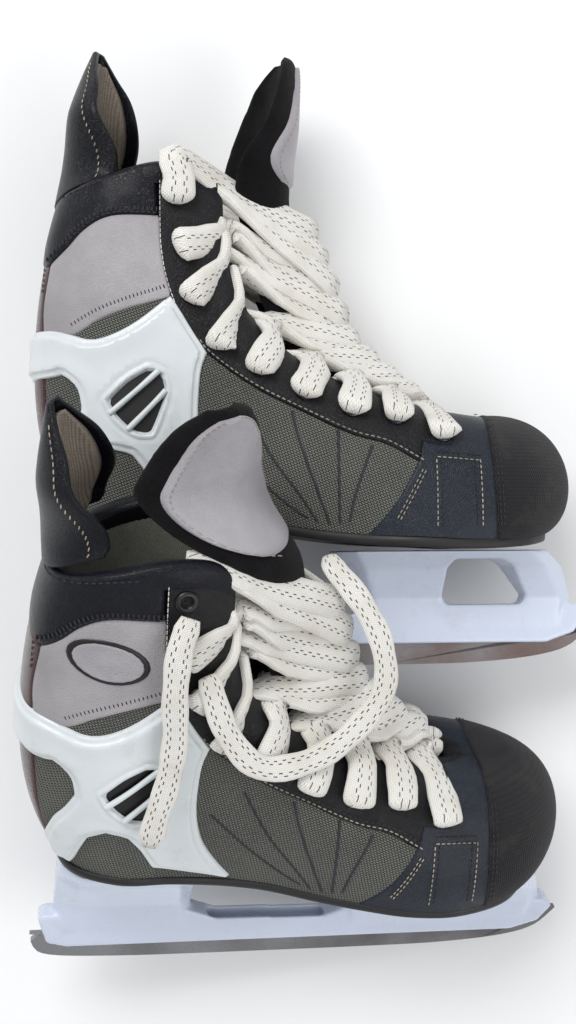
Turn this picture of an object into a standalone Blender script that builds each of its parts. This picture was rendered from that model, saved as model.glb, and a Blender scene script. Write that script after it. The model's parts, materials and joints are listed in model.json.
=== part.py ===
"""A pair of junior ice-hockey skates lying on their sides, the right one leaning on the left one's heel.

Each skate is modelled upright in its own frame, in millimetres: x from the heel to the toe, y to the
wearer's left, z up from the bottom of the runner. An empty then lays the skate down.
"""

import math

import bmesh
import bpy
from mathutils import Matrix, Vector
from mathutils.geometry import tessellate_polygon

MM = 0.001
GAP = 0.35                      # clearance between pieces that touch
SPAN_STEPS = 2                  # meridians between two keys of the boot's form
RISE_STEPS = 7                  # rings from the sole to the collar
RISE_FROM = 0.03                # the layers start just above the sole's edge
SHELL = (-2.4, 0.0)             # offsets from the form, inner and outer, of each layer
PANEL = (0.35, 1.9)
OVERLAY = (2.25, 4.3)
LINER = (-6.4, -3.1)
RUNNER_HALF = 1.5
LACE_RADIUS = 2.0
EYELETS = 9

# Where each skate lies: its rotation in degrees and its origin in millimetres. Upright is (0, 0, 0).
PLACES = {
    "right": ((-64, 9.5, -0.3), (-135.14, -205.28, 46.81)),
    "left": ((-91.5, 3.7, 0.3), (-124.84, -70.88, 60.41)),
}
GUARD_FLEX = {"right": 14, "left": 0}   # how far back the tendon guard rests, in degrees

# The boot's form: meridians from the heel centre round one side to the toe centre.
# Each is a Bezier curve from the sole, by two handles, up to the collar or throat edge.
FORM = (
    ((19, 0, 69), (-6, 0, 100), (1, 0, 165), (13, 0, 206)),
    ((25, 19, 69), (3, 22, 100), (5, 22, 165), (18, 19, 208)),
    ((44, 29, 69), (32, 35, 100), (30, 34, 165), (36, 30, 214)),
    ((66, 28, 68), (60, 36, 102), (58, 36, 165), (60, 32, 219)),
    ((88, 27.5, 66), (84, 37, 100), (79, 34, 165), (81, 27, 213)),
    ((108, 29.5, 64), (104, 40, 96), (90, 35, 150), (83, 24, 190)),
    ((128, 34, 61), (126, 43, 90), (104, 36, 136), (89, 23, 166)),
    ((148, 39, 59), (148, 46, 86), (124, 37, 124), (103, 22, 147)),
    ((170, 44, 58), (172, 48, 82), (148, 39, 115), (123, 20, 132)),
    ((192, 43, 57), (199, 47, 78), (177, 39, 110), (149, 18, 121)),
    ((214, 35, 58), (228, 41, 72), (213, 36, 116), (175, 12, 112)),
    ((226, 19, 60), (245, 23, 68), (236, 21, 122), (187, 5, 108)),
    ((229, 0, 61), (252, 0, 69), (243, 0, 125), (189, 0, 108)),
)

# Outlines seen from the side, as (x, z).
COLLAR = ((-15, 184), (11, 178), (18, 184), (26, 192), (37, 197), (57, 197), (57, 240), (-15, 240))
EYESTAY = ((57, 240), (57, 197), (57.5, 183), (60, 169), (65, 154), (73, 143), (78, 137), (98, 122.5), (120, 111),
           (140, 101.5), (155, 97), (169, 89), (171, 98), (184, 96), (184, 130), (150, 140), (120, 180), (110, 240))
ANKLE = ((11, 178), (8, 160), (8, 148), (20, 147), (31, 153), (44, 158), (62, 163), (60, 169), (57.5, 183), (57, 197),
         (37, 197), (26, 192), (18, 184))
BACKSTAY = ((-15, 184), (-15, 50), (20, 50), (20, 74), (12, 90), (9, 110), (8, 130), (8, 160), (11, 178))
QUARTER = ((8, 148), (8, 130), (9, 110), (12, 90), (20, 74), (20, 50), (92, 50), (92, 64), (85, 75), (77, 91),
           (74, 108), (75, 129), (78, 137), (73, 143), (65, 154), (62, 163), (44, 158), (31, 153), (20, 147))
SIDE = ((78, 137), (75, 129), (74, 108), (77, 91), (85, 75), (92, 64), (92, 50), (140, 50), (158, 70), (169, 89),
        (155, 97), (140, 101.5), (120, 111), (98, 122.5))
VAMP = ((140, 50), (202, 50), (199, 130), (184, 130), (184, 96), (171, 98), (169, 89), (158, 70))
TOE = ((202, 50), (265, 50), (265, 135), (199, 135))
LINING = ((-20, 95), (40, 84), (92, 84), (92, 240), (-20, 240))
SUPPORT = ((-15, 151), (-15, 129), (9, 128), (16, 129), (22, 123), (24, 114), (20, 106), (15, 97), (13, 84), (17, 74),
           (24, 73), (27, 84), (30, 92), (37, 96), (45, 94), (51, 86), (56, 76), (92, 67), (84, 78), (77, 91),
           (74, 108), (75, 129), (78, 138), (72, 147), (66, 157), (62, 163), (48, 152), (37, 146), (28, 144),
           (18, 147), (10, 149))
WINDOW = ((36, 117), (40, 110), (47, 104), (53, 103.5), (56, 110), (59.5, 121), (58, 128), (53, 130.5), (44, 125))
EMBLEM = (36, 179, 16, 9.5)     # centre x, z and half sizes of the oval on the outer ankle panel

# The tongue: front face x, z, then half width, how far its edges curl back, and its lean in degrees.
TONGUE_LOWER = ((181, 108, 8, 3, 80), (166, 120, 11, 7, 70), (151, 131, 13, 12, 60), (138, 144, 15, 19, 46),
                (130, 163, 16, 27, 24), (123, 184, 17, 29, 10), (117, 201, 19, 27, 0))
TONGUE_UPPER = ((116.6, 204.4, 20, 27, 0), (116, 222, 31, 29, 0), (117, 240, 34, 22, -2), (117.5, 258, 30, 15, -2),
                (118, 270, 22, 11, 0), (118.3, 277, 10, 6, 0))
TONGUE_THICK = 5.5
TONGUE_HINGE = (117.5, 0.0, 203.0)
# How a soft top is turned about the vertical: the x it turns about, the heights between which the turn
# grows, the whole turn in degrees, and how far it also leans back.
TONGUE_TURN = {"right": (104, 204.4, 247, -52, 32), "left": (104, 204.4, 245, 14, 0)}

# The tendon guard: height, back x, how far its wings reach forward, and its half width.
GUARD = ((208, 9.5, 26, 27), (218, 11.5, 26.5, 26.5), (231, 14.5, 26.5, 25), (245, 18.5, 22.5, 21.5),
         (257, 22.5, 17.5, 16.5), (267, 26.5, 9.5, 10.5), (276, 30, 3, 4))
GUARD_THICK = 3.0
GUARD_HINGE = (9.0, 0.0, 208.0)
GUARD_TURN = (12, 218, 250, -26, 0)

HEEL_TOWER = ((19, 16, 79, 5.2, 0), (34, 16, 78, 7, 0), (50, 17, 80, 14, 1), (60, 18, 84, 22, 2), (63.8, 19, 85, 23, 3))
TOE_TOWER = ((17, 150, 241, 5.2, 0), (30, 147, 244, 7, 0), (44, 139, 239, 17, 0), (51.8, 134, 230, 26, 0))
RAIL = ((11, 19), (9, 26), (12, 28), (78, 28), (90, 23), (140, 22), (152, 27), (246, 27), (251, 23), (245, 14),
        (232, 9.5), (22, 9.5), (13, 12))
TOE_WINDOW = ((186, 27), (220, 27), (222, 31), (214, 45), (209, 48), (188, 48), (185, 44), (184, 31))
RUNNER = ((6, 11), (9, 5), (19, 2), (45, 0.5), (80, 0), (170, 0), (205, 1), (231, 4), (245, 9), (254, 19),
          (250, 19.5), (241, 12.6), (230, 15), (25, 15), (11, 14.5))

COLOURS = {
    "black_leather": ((0.012, 0.014, 0.022), 0.35, 0.0),
    "facing_leather": ((0.016, 0.018, 0.022), 0.45, 0.0),
    "navy_leather": ((0.030, 0.045, 0.065), 0.4, 0.0),
    "silver_leather": ((0.33, 0.32, 0.33), 0.4, 0.0),
    "woven_mesh": ((0.12, 0.125, 0.105), 0.7, 0.0),
    "toe_nylon": ((0.020, 0.018, 0.021), 0.75, 0.0),
    "white_plastic": ((0.66, 0.70, 0.72), 0.35, 0.0),
    "black_plastic": ((0.010, 0.010, 0.011), 0.5, 0.0),
    "steel": ((0.24, 0.25, 0.26), 0.3, 1.0),
    "felt": ((0.014, 0.012, 0.014), 0.95, 0.0),
    "vinyl_grey": ((0.30, 0.29, 0.30), 0.45, 0.0),
    "liner_cloth": ((0.26, 0.27, 0.24), 0.9, 0.0),
    "board": ((0.10, 0.08, 0.06), 0.9, 0.0),
    "lace": ((0.78, 0.76, 0.70), 0.9, 0.0),
}


def clear_scene():
    for obj in list(bpy.data.objects):
        bpy.data.objects.remove(obj, do_unlink=True)


def new_collection(name, hidden=False):
    collection = bpy.data.collections.new(name)
    bpy.context.scene.collection.children.link(collection)
    collection.hide_render = hidden
    return collection


def material(name, key):
    colour, roughness, metallic = COLOURS[key]
    made = bpy.data.materials.new(name)
    made.use_nodes = True
    shader = made.node_tree.nodes["Principled BSDF"]
    shader.inputs["Base Color"].default_value = (*colour, 1)
    shader.inputs["Roughness"].default_value = roughness
    shader.inputs["Metallic"].default_value = metallic
    made.diffuse_color = (*colour, 1)
    return made


def mesh_object(name, points, faces, collection):
    """An object from points in millimetres, its faces turned outward."""
    mesh = bpy.data.meshes.new(name)
    mesh.from_pydata([Vector(p) * MM for p in points], [], faces)
    edit = bmesh.new()
    edit.from_mesh(mesh)
    bmesh.ops.remove_doubles(edit, verts=edit.verts, dist=1e-6)
    bmesh.ops.recalc_face_normals(edit, faces=edit.faces)
    edit.to_mesh(mesh)
    edit.free()
    obj = bpy.data.objects.new(name, mesh)
    collection.objects.link(obj)
    return obj


def bezier(p, t):
    s = 1 - t
    return p[0] * s**3 + p[1] * (3 * s * s * t) + p[2] * (3 * s * t * t) + p[3] * t**3


def catmull(p0, p1, p2, p3, t):
    return 0.5 * (2 * p1 + (p2 - p0) * t + (2 * p0 - 5 * p1 + 4 * p2 - p3) * t * t
                  + (3 * p1 - p0 - 3 * p2 + p3) * t**3)


def form_loop():
    """The form's keys all the way round: up the left side to the toe and back down the right side."""
    left = [[Vector(p) for p in key] for key in FORM]
    right = [[Vector((p.x, -p.y, p.z)) for p in key] for key in left[-2:0:-1]]
    return left + right


KEYS = form_loop()


def meridian(turn):
    """The four Bezier points at a place round the form, from 0 at the heel to len(KEYS)."""
    i = math.floor(turn)
    four = [KEYS[(i + k) % len(KEYS)] for k in (-1, 0, 1, 2)]
    return [catmull(*(key[j] for key in four), turn - i) for j in range(4)]


def form_point(turn, rise, offset=0.0):
    point = bezier(meridian(turn), rise)
    if not offset:
        return point
    low, high = max(rise - 0.01, 0), min(rise + 0.01, 1)
    up = bezier(meridian(turn), high) - bezier(meridian(turn), low)
    along = bezier(meridian(turn + 0.02), rise) - bezier(meridian(turn - 0.02), rise)
    return point - along.cross(up).normalized() * offset


def layer(name, inner, outer, collection):
    """A closed band round the boot between two offsets of the form."""
    count = len(KEYS) * SPAN_STEPS
    rings = []
    for offset, rises in ((outer, range(RISE_STEPS + 1)), (inner, range(RISE_STEPS, -1, -1))):
        for r in rises:
            rise = RISE_FROM + (1 - RISE_FROM) * r / RISE_STEPS
            rings.append([form_point(i / SPAN_STEPS, rise, offset) for i in range(count)])
    points = [p for ring in rings for p in ring]
    faces = []
    for r in range(len(rings)):
        above = (r + 1) % len(rings)
        for i in range(count):
            a, b = r * count + i, r * count + (i + 1) % count
            d, c = above * count + i, above * count + (i + 1) % count
            # The same diagonal on both faces and in every layer keeps the gaps even.
            faces += [(a, b, c), (a, c, d)] if r <= RISE_STEPS else [(a, b, d), (b, c, d)]
    return mesh_object(name, points, faces, collection)


def inset(outline, by):
    """The outline moved inwards by a distance, whichever way round it runs."""
    area = sum(a[0] * b[1] - b[0] * a[1] for a, b in zip(outline, outline[1:] + outline[:1]))
    by *= math.copysign(1, area)
    moved = []
    for k, point in enumerate(outline):
        before, after = Vector(outline[k - 1]), Vector(outline[(k + 1) % len(outline)])
        here = Vector(point)
        first, second = (here - before).normalized(), (after - here).normalized()
        normal = Vector((-first.y - second.y, first.x + second.x))
        moved.append(here + normal * by / max(0.3, 1 + first.dot(second)))
    return [tuple(p) for p in moved]


def prism(name, outline, y_low, y_high, collection):
    """The outline, seen from the side, extruded across the boot."""
    flat = [Vector((x, 0, z)) for x, z in outline]
    n = len(flat)
    points = [Vector((p.x, y, p.z)) for y in (y_low, y_high) for p in flat]
    caps = tessellate_polygon([flat])
    faces = [tuple(c) for c in caps] + [tuple(i + n for i in reversed(c)) for c in caps]
    faces += [(i, (i + 1) % n, (i + 1) % n + n, i + n) for i in range(n)]
    return mesh_object(name, points, faces, collection)


def apply_boolean(obj, cutter, operation):
    modifier = obj.modifiers.new("cut", "BOOLEAN")
    modifier.operation = operation
    modifier.object = cutter
    graph = bpy.context.evaluated_depsgraph_get()
    mesh = bpy.data.meshes.new_from_object(obj.evaluated_get(graph))
    obj.modifiers.clear()
    obj.data = mesh
    bpy.data.objects.remove(cutter, do_unlink=True)


def loft(name, rings, collection):
    """A closed solid through rings of the same count of points, capped at both ends."""
    n = len(rings[0])
    points = [Vector(p) for ring in rings for p in ring]
    faces = [(r * n + i, r * n + (i + 1) % n, (r + 1) * n + (i + 1) % n, (r + 1) * n + i)
             for r in range(len(rings) - 1) for i in range(n)]
    for start in (0, (len(rings) - 1) * n):
        half = n // 2
        for i in range(half - 1):
            faces.append((start + i, start + i + 1, start + n - 2 - i, start + n - 1 - i))
    return mesh_object(name, points, faces, collection)


def tube(name, points, radius, collection):
    """A round cord along the points, with filled ends."""
    curve = bpy.data.curves.new(name, "CURVE")
    curve.dimensions = "3D"
    curve.bevel_depth = radius * MM
    curve.bevel_resolution = 2
    curve.use_fill_caps = True
    spline = curve.splines.new("POLY")
    spline.points.add(len(points) - 1)
    for target, point in zip(spline.points, points):
        target.co = (*(Vector(point) * MM), 1)
    guide = bpy.data.objects.new(name + "_guide", curve)
    mesh = bpy.data.meshes.new_from_object(guide)
    bpy.data.objects.remove(guide, do_unlink=True)
    edit = bmesh.new()
    edit.from_mesh(mesh)
    bmesh.ops.remove_doubles(edit, verts=edit.verts, dist=1e-6)
    bmesh.ops.recalc_face_normals(edit, faces=edit.faces)
    edit.to_mesh(mesh)
    edit.free()
    obj = bpy.data.objects.new(name, mesh)
    collection.objects.link(obj)
    return obj


def smooth_path(points, steps=4):
    """A Catmull-Rom curve through the points."""
    ends = [2 * Vector(points[0]) - Vector(points[1]), *map(Vector, points),
            2 * Vector(points[-1]) - Vector(points[-2])]
    path = [catmull(*ends[i:i + 4], k / steps) for i in range(len(points) - 1) for k in range(steps)]
    return [*path, Vector(points[-1])]


def tongue_point(row, angle, lift):
    """A point on the tongue's front face: angle runs from its middle to its edges, lift is off the face."""
    x, z, half, curl, lean = row
    out = Vector((math.cos(math.radians(lean)), 0, math.sin(math.radians(lean))))
    normal = Vector((curl * math.sin(angle), half * math.cos(angle))).normalized()
    if curl * abs(math.sin(angle)) < 1e-9:
        normal = Vector((0, 1))
    across = half * math.sin(angle) + normal.x * lift
    depth = curl * (math.cos(angle) - 1) + normal.y * lift
    return Vector((x, across, z)) + out * depth


def station(rows, t):
    """A row of the table part-way along it, for t from 0 to 1."""
    at = min(max(t, 0), 1) * (len(rows) - 1)
    i = min(int(at), len(rows) - 2)
    return [a + (b - a) * (at - i) for a, b in zip(rows[i], rows[i + 1])]


def turned(point, how):
    """The point turned about the vertical, more the higher it is, as how says."""
    about, low, high, angle, back = how
    grown = min(max((point[2] - low) / (high - low), 0), 1)
    grown *= grown * (3 - 2 * grown)
    c, s = (f(math.radians(angle * grown)) for f in (math.cos, math.sin))
    x, y = point[0] - about, point[1]
    return Vector((about + x * c - y * s - back * grown, x * s + y * c, point[2]))


class Skate:
    """Builds one skate's pieces, upright in its own frame, under an empty that lays it down."""

    def __init__(self, side, parts, cutters):
        self.side, self.parts, self.cutters = side, parts, cutters
        self.outer = -1 if side == "right" else 1
        turned, origin = PLACES[side]
        self.empty = bpy.data.objects.new("skate_" + side, None)
        self.empty.location = Vector(origin) * MM
        self.empty.rotation_euler = [math.radians(angle) for angle in turned]
        parts.objects.link(self.empty)

    def finish(self, obj, colour, pivot=(0, 0, 0)):
        """Names the piece, gives it its material and puts its origin at the pivot."""
        obj.name = f"{obj.name}_{self.side}"
        obj.data.materials.clear()
        obj.data.materials.append(material(obj.name, colour))
        for polygon in obj.data.polygons:
            polygon.use_smooth = True
            polygon.material_index = 0
        obj.data.transform(Matrix.Translation(-Vector(pivot) * MM))
        obj.parent = self.empty
        obj.location = Vector(pivot) * MM
        return obj

    def panel(self, name, outline, offsets, colour, half=0, holes=(), margin=GAP / 2):
        """The part of a layer inside an outline: on both sides, or on one with half at 1 or -1."""
        obj = layer(name, *offsets, self.parts)
        low, high = {0: (-80, 80), 1: (0.5, 80), -1: (-80, -0.5)}[half]
        apply_boolean(obj, prism("outline", inset(outline, margin), low, high, self.cutters), "INTERSECT")
        for hole in holes:
            apply_boolean(obj, prism("hole", inset(hole, -GAP), -80, 80, self.cutters), "DIFFERENCE")
        return self.finish(obj, colour)

    def sides(self, name, *args, **more):
        for half in (1, -1):
            word = "outer" if half == self.outer else "inner"
            self.panel(f"{name}_{word}", *args, half=half, **more)

    def boot(self):
        self.finish(layer("boot_shell", *SHELL, self.parts), "black_leather")
        self.panel("lining", LINING, LINER, "liner_cloth")
        self.panel("collar_band", COLLAR, PANEL, "black_leather")
        self.panel("backstay", BACKSTAY, PANEL, "black_leather")
        self.panel("vamp", VAMP, PANEL, "navy_leather")
        self.panel("toe_cap", TOE, (PANEL[0], PANEL[1] + 0.7), "toe_nylon")
        self.sides("eyestay", EYESTAY, PANEL, "facing_leather")
        self.sides("ankle_panel", ANKLE, PANEL, "silver_leather")
        self.sides("quarter_mesh", QUARTER, PANEL, "woven_mesh")
        self.sides("side_mesh", SIDE, PANEL, "woven_mesh")
        self.panel("ankle_support", SUPPORT, OVERLAY, "white_plastic", holes=[WINDOW])
        self.sides("vent_insert", WINDOW, (OVERLAY[0], OVERLAY[0] + 1.2), "black_plastic")
        x, z, a, b = EMBLEM
        oval = [(x + a * math.cos(t * math.pi / 8), z + b * math.sin(t * math.pi / 8)) for t in range(16)]
        self.panel("emblem", oval, (OVERLAY[0], OVERLAY[0] + 1.2), "vinyl_grey", half=self.outer)

    def slab(self, name, offset, low, high, colour, narrow=0.0):
        """A plate with the sole's outline, between two heights above it."""
        count = len(KEYS) * SPAN_STEPS
        rings = []
        for height, extra in ((low, -narrow), (high, 0.0)):
            ring = []
            for i in range(count):
                base = form_point(i / SPAN_STEPS, 0)
                rise = form_point(i / SPAN_STEPS, RISE_FROM, offset + extra)
                ring.append((rise.x, rise.y, base.z + height))
            rings.append(ring)
        # Start half a step on, so that each cap's strips join points across the sole.
        self.finish(self.strip_loft(name, rings), colour)

    def strip_loft(self, name, rings):
        """Two rings joined, with caps of strips across from one side to the other."""
        n = len(rings[0])
        points = [Vector(p) for ring in rings for p in ring]
        faces = [(i, (i + 1) % n, (i + 1) % n + n, i + n) for i in range(n)]
        for start in (0, n):
            faces.append((start, start + 1, start + n - 1))
            faces.append((start + n // 2 - 1, start + n // 2, start + n // 2 + 1))
            for i in range(1, n // 2 - 1):
                faces.append((start + i, start + i + 1, start + n - i - 1, start + n - i))
        return mesh_object(name, points, faces, self.parts)

    def sole(self):
        self.slab("outsole", 0.6, -4.6, -GAP, "black_plastic", narrow=1.5)
        self.slab("insole_board", -5.0, 0.0, 2.4, "board")
        self.slab("footbed", -5.2, 2.8, 5.6, "liner_cloth", narrow=0.5)

    def tower(self, name, rings):
        """A tapering block from rings of height, back x, front x, half width and fall towards the front."""
        shaped = []
        for z, back, front, half, fall in rings:
            c = min(half * 0.8, 9)
            corners = ((back, half - c), (back + c, half), (front - c, half), (front, half - c))
            around = [*corners, *((x, -y) for x, y in reversed(corners))]
            shaped.append([(x, y, z - fall * (x - back) / (front - back)) for x, y in around])
        return loft(name, shaped, self.parts)

    def holder(self):
        body = prism("blade_holder", RAIL, -5, 5, self.parts)
        for rings in (HEEL_TOWER, TOE_TOWER):
            apply_boolean(body, self.tower("tower", rings), "UNION")
        apply_boolean(body, prism("window", TOE_WINDOW, -60, 60, self.cutters), "DIFFERENCE")
        channel = ((86, 16.5), (143, 16.5), (134, 36), (86, 36))
        apply_boolean(body, prism("channel", channel, -3.2, 3.2, self.cutters), "DIFFERENCE")
        groove = ((-30, -20), (280, -20), (280, 23), (255, 23), (243, 16), (4, 16), (-5, 17), (-30, 17))
        apply_boolean(body, prism("groove", groove, -RUNNER_HALF - 0.3, RUNNER_HALF + 0.3, self.cutters),
                      "DIFFERENCE")
        self.finish(body, "white_plastic")
        self.finish(prism("runner", RUNNER, -RUNNER_HALF, RUNNER_HALF, self.parts), "steel")

    def pad(self, name, stations, near, far, spread, colour, pivot):
        """A curled pad through the tongue's stations, between two depths below its front face."""
        angles = [math.radians(spread * k / 4) for k in range(-4, 5)]
        rings = [[tongue_point(row, a, -near) for a in angles] + [tongue_point(row, a, -far) for a in angles[::-1]]
                 for row in stations]
        rings = [[turned(p, TONGUE_TURN[self.side]) for p in ring] for ring in rings]
        return self.finish(loft(name, rings, self.parts), colour, pivot)

    def tongue(self):
        self.pad("tongue_lower", TONGUE_LOWER, 0, TONGUE_THICK, 84, "felt", (0, 0, 0))
        self.pad("tongue_upper", TONGUE_UPPER, 0, TONGUE_THICK, 84, "felt", TONGUE_HINGE)
        self.pad("tongue_face", TONGUE_UPPER[1:-1], -4.1, -2.9, 48, "vinyl_grey", TONGUE_HINGE)

    def guard(self):
        for name, depths, rows, narrow, colour in (
            ("tendon_guard", (0, GUARD_THICK), GUARD, 1, "black_leather"),
            ("guard_lining", (GUARD_THICK + 0.8, GUARD_THICK + 3.4), GUARD[:-1], 0.86, "liner_cloth"),
        ):
            rings = []
            for n, (z, back, reach, half) in enumerate(rows):
                ring = []
                for depth, order in zip(depths, (range(-5, 6), range(5, -6, -1))):
                    for k in order:
                        angle = math.radians(90 * k / 5 * narrow)
                        lift = 7 * (math.sin(angle)) ** 2 if n == 0 else 0
                        ring.append(turned((back + reach * (1 - math.cos(angle)) + depth * math.cos(angle),
                                            (half - depth) * math.sin(angle), z + lift), GUARD_TURN))
                rings.append(ring)
            flap = self.finish(loft(name, rings, self.parts), colour, GUARD_HINGE)
            flap.rotation_euler.y = -math.radians(GUARD_FLEX[self.side])

    def lace(self):
        """The two halves of the lace, crossing over the tongue from eyelet to eyelet."""
        lift = LACE_RADIUS + 1.2
        bodies = []
        for first in (1, -1):
            path = []
            for i in range(EYELETS):
                side = first if i % 2 else -first
                turn = 4.5 + 5.8 * i / (EYELETS - 1)
                turn = turn if side > 0 else len(KEYS) - turn
                hole = form_point(turn, 0.9, PANEL[1] + LACE_RADIUS + 1.8)
                edge = form_point(turn, 1.0, PANEL[1] + LACE_RADIUS + 3.2)
                if path:
                    for k in range(-2, 3):
                        row = station(TONGUE_LOWER, 1 - (i - 0.5 + k / 6) / (EYELETS - 1))
                        path.append(tongue_point(row, math.radians(24 * k * side), lift + 0.8 * (first < 0)))
                    path += [edge, hole]
                else:
                    path += [hole]
                if i < EYELETS - 1:
                    path.append(edge + Vector((1.5, 0, -1.5)))
            bodies.append(tube("lacing", smooth_path(path, 1), LACE_RADIUS, self.parts))
        apply_boolean(bodies[0], bodies[1], "UNION")
        bodies[0].name = "lacing"
        self.finish(bodies[0], "lace")

    def loose_ends(self):
        loop = ((74, -41, 176), (83, -45, 152), (97, -46, 136), (118, -40, 134), (137, -30, 140), (151, -22, 156),
                (150, -16, 174), (143, -11, 188), (136, -7, 197), (130, -3, 203), (128, 4, 206))
        tail = ((66, -42, 203), (62, -46, 190), (61, -47.5, 170), (62, -47, 150), (60, -47, 130), (56, -47, 112),
                (54, -46, 98))
        self.finish(tube("lace_loop", smooth_path(loop, 3), LACE_RADIUS, self.parts), "lace")
        self.finish(tube("lace_tail", smooth_path(tail, 3), LACE_RADIUS, self.parts), "lace")

    def build(self):
        self.boot()
        self.sole()
        self.holder()
        self.tongue()
        self.guard()
        self.lace()
        if self.side == "right":
            self.loose_ends()


def main():
    clear_scene()
    parts = new_collection("ice_skates")
    cutters = new_collection("cutters", hidden=True)
    for side in PLACES:
        Skate(side, parts, cutters).build()


main()
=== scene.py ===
"""Looks of the pair of junior hockey skates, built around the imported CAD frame.

Shapes are worked out in each skate's own frame, in millimetres: x from heel to toe, y to the wearer's
left, z up from the runner. put() then lays them down in the row frame.
"""

import json
import math

import bmesh
import bpy
import numpy as np
from mathutils import Euler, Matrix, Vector, noise

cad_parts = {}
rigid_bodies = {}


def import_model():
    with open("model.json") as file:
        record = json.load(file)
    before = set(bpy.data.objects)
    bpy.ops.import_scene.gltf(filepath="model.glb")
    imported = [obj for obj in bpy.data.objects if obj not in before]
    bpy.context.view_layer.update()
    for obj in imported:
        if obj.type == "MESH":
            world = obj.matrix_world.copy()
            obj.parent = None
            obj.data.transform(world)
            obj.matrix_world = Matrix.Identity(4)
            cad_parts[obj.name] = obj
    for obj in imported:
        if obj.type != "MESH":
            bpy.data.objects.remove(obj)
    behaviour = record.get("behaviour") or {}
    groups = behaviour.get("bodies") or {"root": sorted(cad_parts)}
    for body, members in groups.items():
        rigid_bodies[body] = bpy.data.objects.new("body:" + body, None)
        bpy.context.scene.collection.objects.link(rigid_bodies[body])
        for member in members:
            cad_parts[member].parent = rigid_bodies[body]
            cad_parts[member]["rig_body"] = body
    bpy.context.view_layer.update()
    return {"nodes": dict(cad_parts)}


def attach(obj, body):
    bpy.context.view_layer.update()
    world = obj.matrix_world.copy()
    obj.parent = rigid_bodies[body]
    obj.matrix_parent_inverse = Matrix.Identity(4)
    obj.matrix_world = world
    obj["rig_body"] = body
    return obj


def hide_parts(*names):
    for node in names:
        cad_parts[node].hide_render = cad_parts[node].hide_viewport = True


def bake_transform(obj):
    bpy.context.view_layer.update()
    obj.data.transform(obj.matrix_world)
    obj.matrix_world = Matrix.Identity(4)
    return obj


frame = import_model()

MM = 0.001
ROOT = "pair"
SIDES = ("left", "right")
PLACES = {
    "right": ((-64, 9.5, -0.3), (-135.14, -205.28, 46.81)),
    "left": ((-91.5, 3.7, 0.3), (-124.84, -70.88, 60.41)),
}
GUARD_FLEX = {"right": 14, "left": 0}
GUARD_HINGE = (9.0, 0.0, 208.0)

# The boot's form: Bezier meridians from the sole to the collar, heel centre to toe centre.
FORM = (
    ((19, 0, 69), (-6, 0, 100), (1, 0, 165), (13, 0, 206)),
    ((25, 19, 69), (3, 22, 100), (5, 22, 165), (18, 19, 208)),
    ((44, 29, 69), (32, 35, 100), (30, 34, 165), (36, 30, 214)),
    ((66, 28, 68), (60, 36, 102), (58, 36, 165), (60, 32, 219)),
    ((88, 27.5, 66), (84, 37, 100), (79, 34, 165), (81, 27, 213)),
    ((108, 29.5, 64), (104, 40, 96), (90, 35, 150), (83, 24, 190)),
    ((128, 34, 61), (126, 43, 90), (104, 36, 136), (89, 23, 166)),
    ((148, 39, 59), (148, 46, 86), (124, 37, 124), (103, 22, 147)),
    ((170, 44, 58), (172, 48, 82), (148, 39, 115), (123, 20, 132)),
    ((192, 43, 57), (199, 47, 78), (177, 39, 110), (149, 18, 121)),
    ((214, 35, 58), (228, 41, 72), (213, 36, 116), (175, 12, 112)),
    ((226, 19, 60), (245, 23, 68), (236, 21, 122), (187, 5, 108)),
    ((229, 0, 61), (252, 0, 69), (243, 0, 125), (189, 0, 108)),
)
ROUND = 24                       # meridians once round the form
SPAN, RISES = 9, 64              # columns between two meridians, rows from sole to collar

# Outlines seen from the side, as (x, z).
COLLAR = ((-15, 184), (11, 178), (18, 184), (26, 192), (37, 197), (57, 197), (57, 240), (-15, 240))
EYESTAY = ((57, 240), (57, 197), (57.5, 183), (60, 169), (65, 154), (73, 143), (78, 137), (98, 122.5),
           (120, 111), (140, 101.5), (155, 97), (169, 89), (171, 98), (184, 96), (184, 130), (150, 140),
           (120, 180), (110, 240))
ANKLE = ((11, 178), (8, 160), (8, 148), (20, 147), (31, 153), (44, 158), (62, 163), (60, 169),
         (57.5, 183), (57, 197), (37, 197), (26, 192), (18, 184))
BACKSTAY = ((-15, 184), (-15, 50), (20, 50), (20, 74), (12, 90), (9, 110), (8, 130), (8, 160), (11, 178))
QUARTER = ((8, 150), (8, 130), (9, 110), (12, 90), (20, 74), (20, 50), (92, 50), (92, 64), (85, 75),
           (77, 91), (74, 108), (75, 129), (78, 137), (73, 143), (65, 154), (62, 166), (44, 162),
           (31, 157), (20, 151))
SIDE = ((78, 137), (75, 129), (74, 108), (77, 91), (85, 75), (92, 64), (92, 50), (140, 50), (158, 70),
        (169, 89), (155, 97), (140, 101.5), (120, 111), (98, 122.5))
VAMP = ((140, 50), (202, 50), (199, 130), (184, 130), (184, 96), (171, 98), (169, 89), (158, 70))
TOE = ((202, 50), (265, 50), (265, 135), (199, 135))
SUPPORT = ((-15, 151), (-15, 129), (9, 128), (16, 129), (22, 123), (24, 114), (20, 106), (15, 97),
           (13, 84), (17, 74), (24, 73), (27, 84), (30, 92), (37, 96), (45, 94), (51, 86), (56, 76),
           (92, 67), (84, 78), (77, 91), (74, 108), (75, 129), (78, 138), (72, 147), (66, 157),
           (62, 163), (48, 152), (37, 146), (28, 144), (18, 147), (10, 149))
WINDOW = ((36, 117), (40, 110), (47, 104), (53, 103.5), (56, 110), (59.5, 121), (58, 128), (53, 130.5),
          (44, 125))
VENT_BACK = ((33, 117), (38, 108), (46, 101.5), (54.5, 101), (58.5, 109), (62, 120), (60.5, 129), (54, 133),
             (43, 127.5))
BARS = (((36.5, 111.5), (57, 130)), ((43.5, 104.5), (60, 121.5)))   # the two bars across the vent
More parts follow.
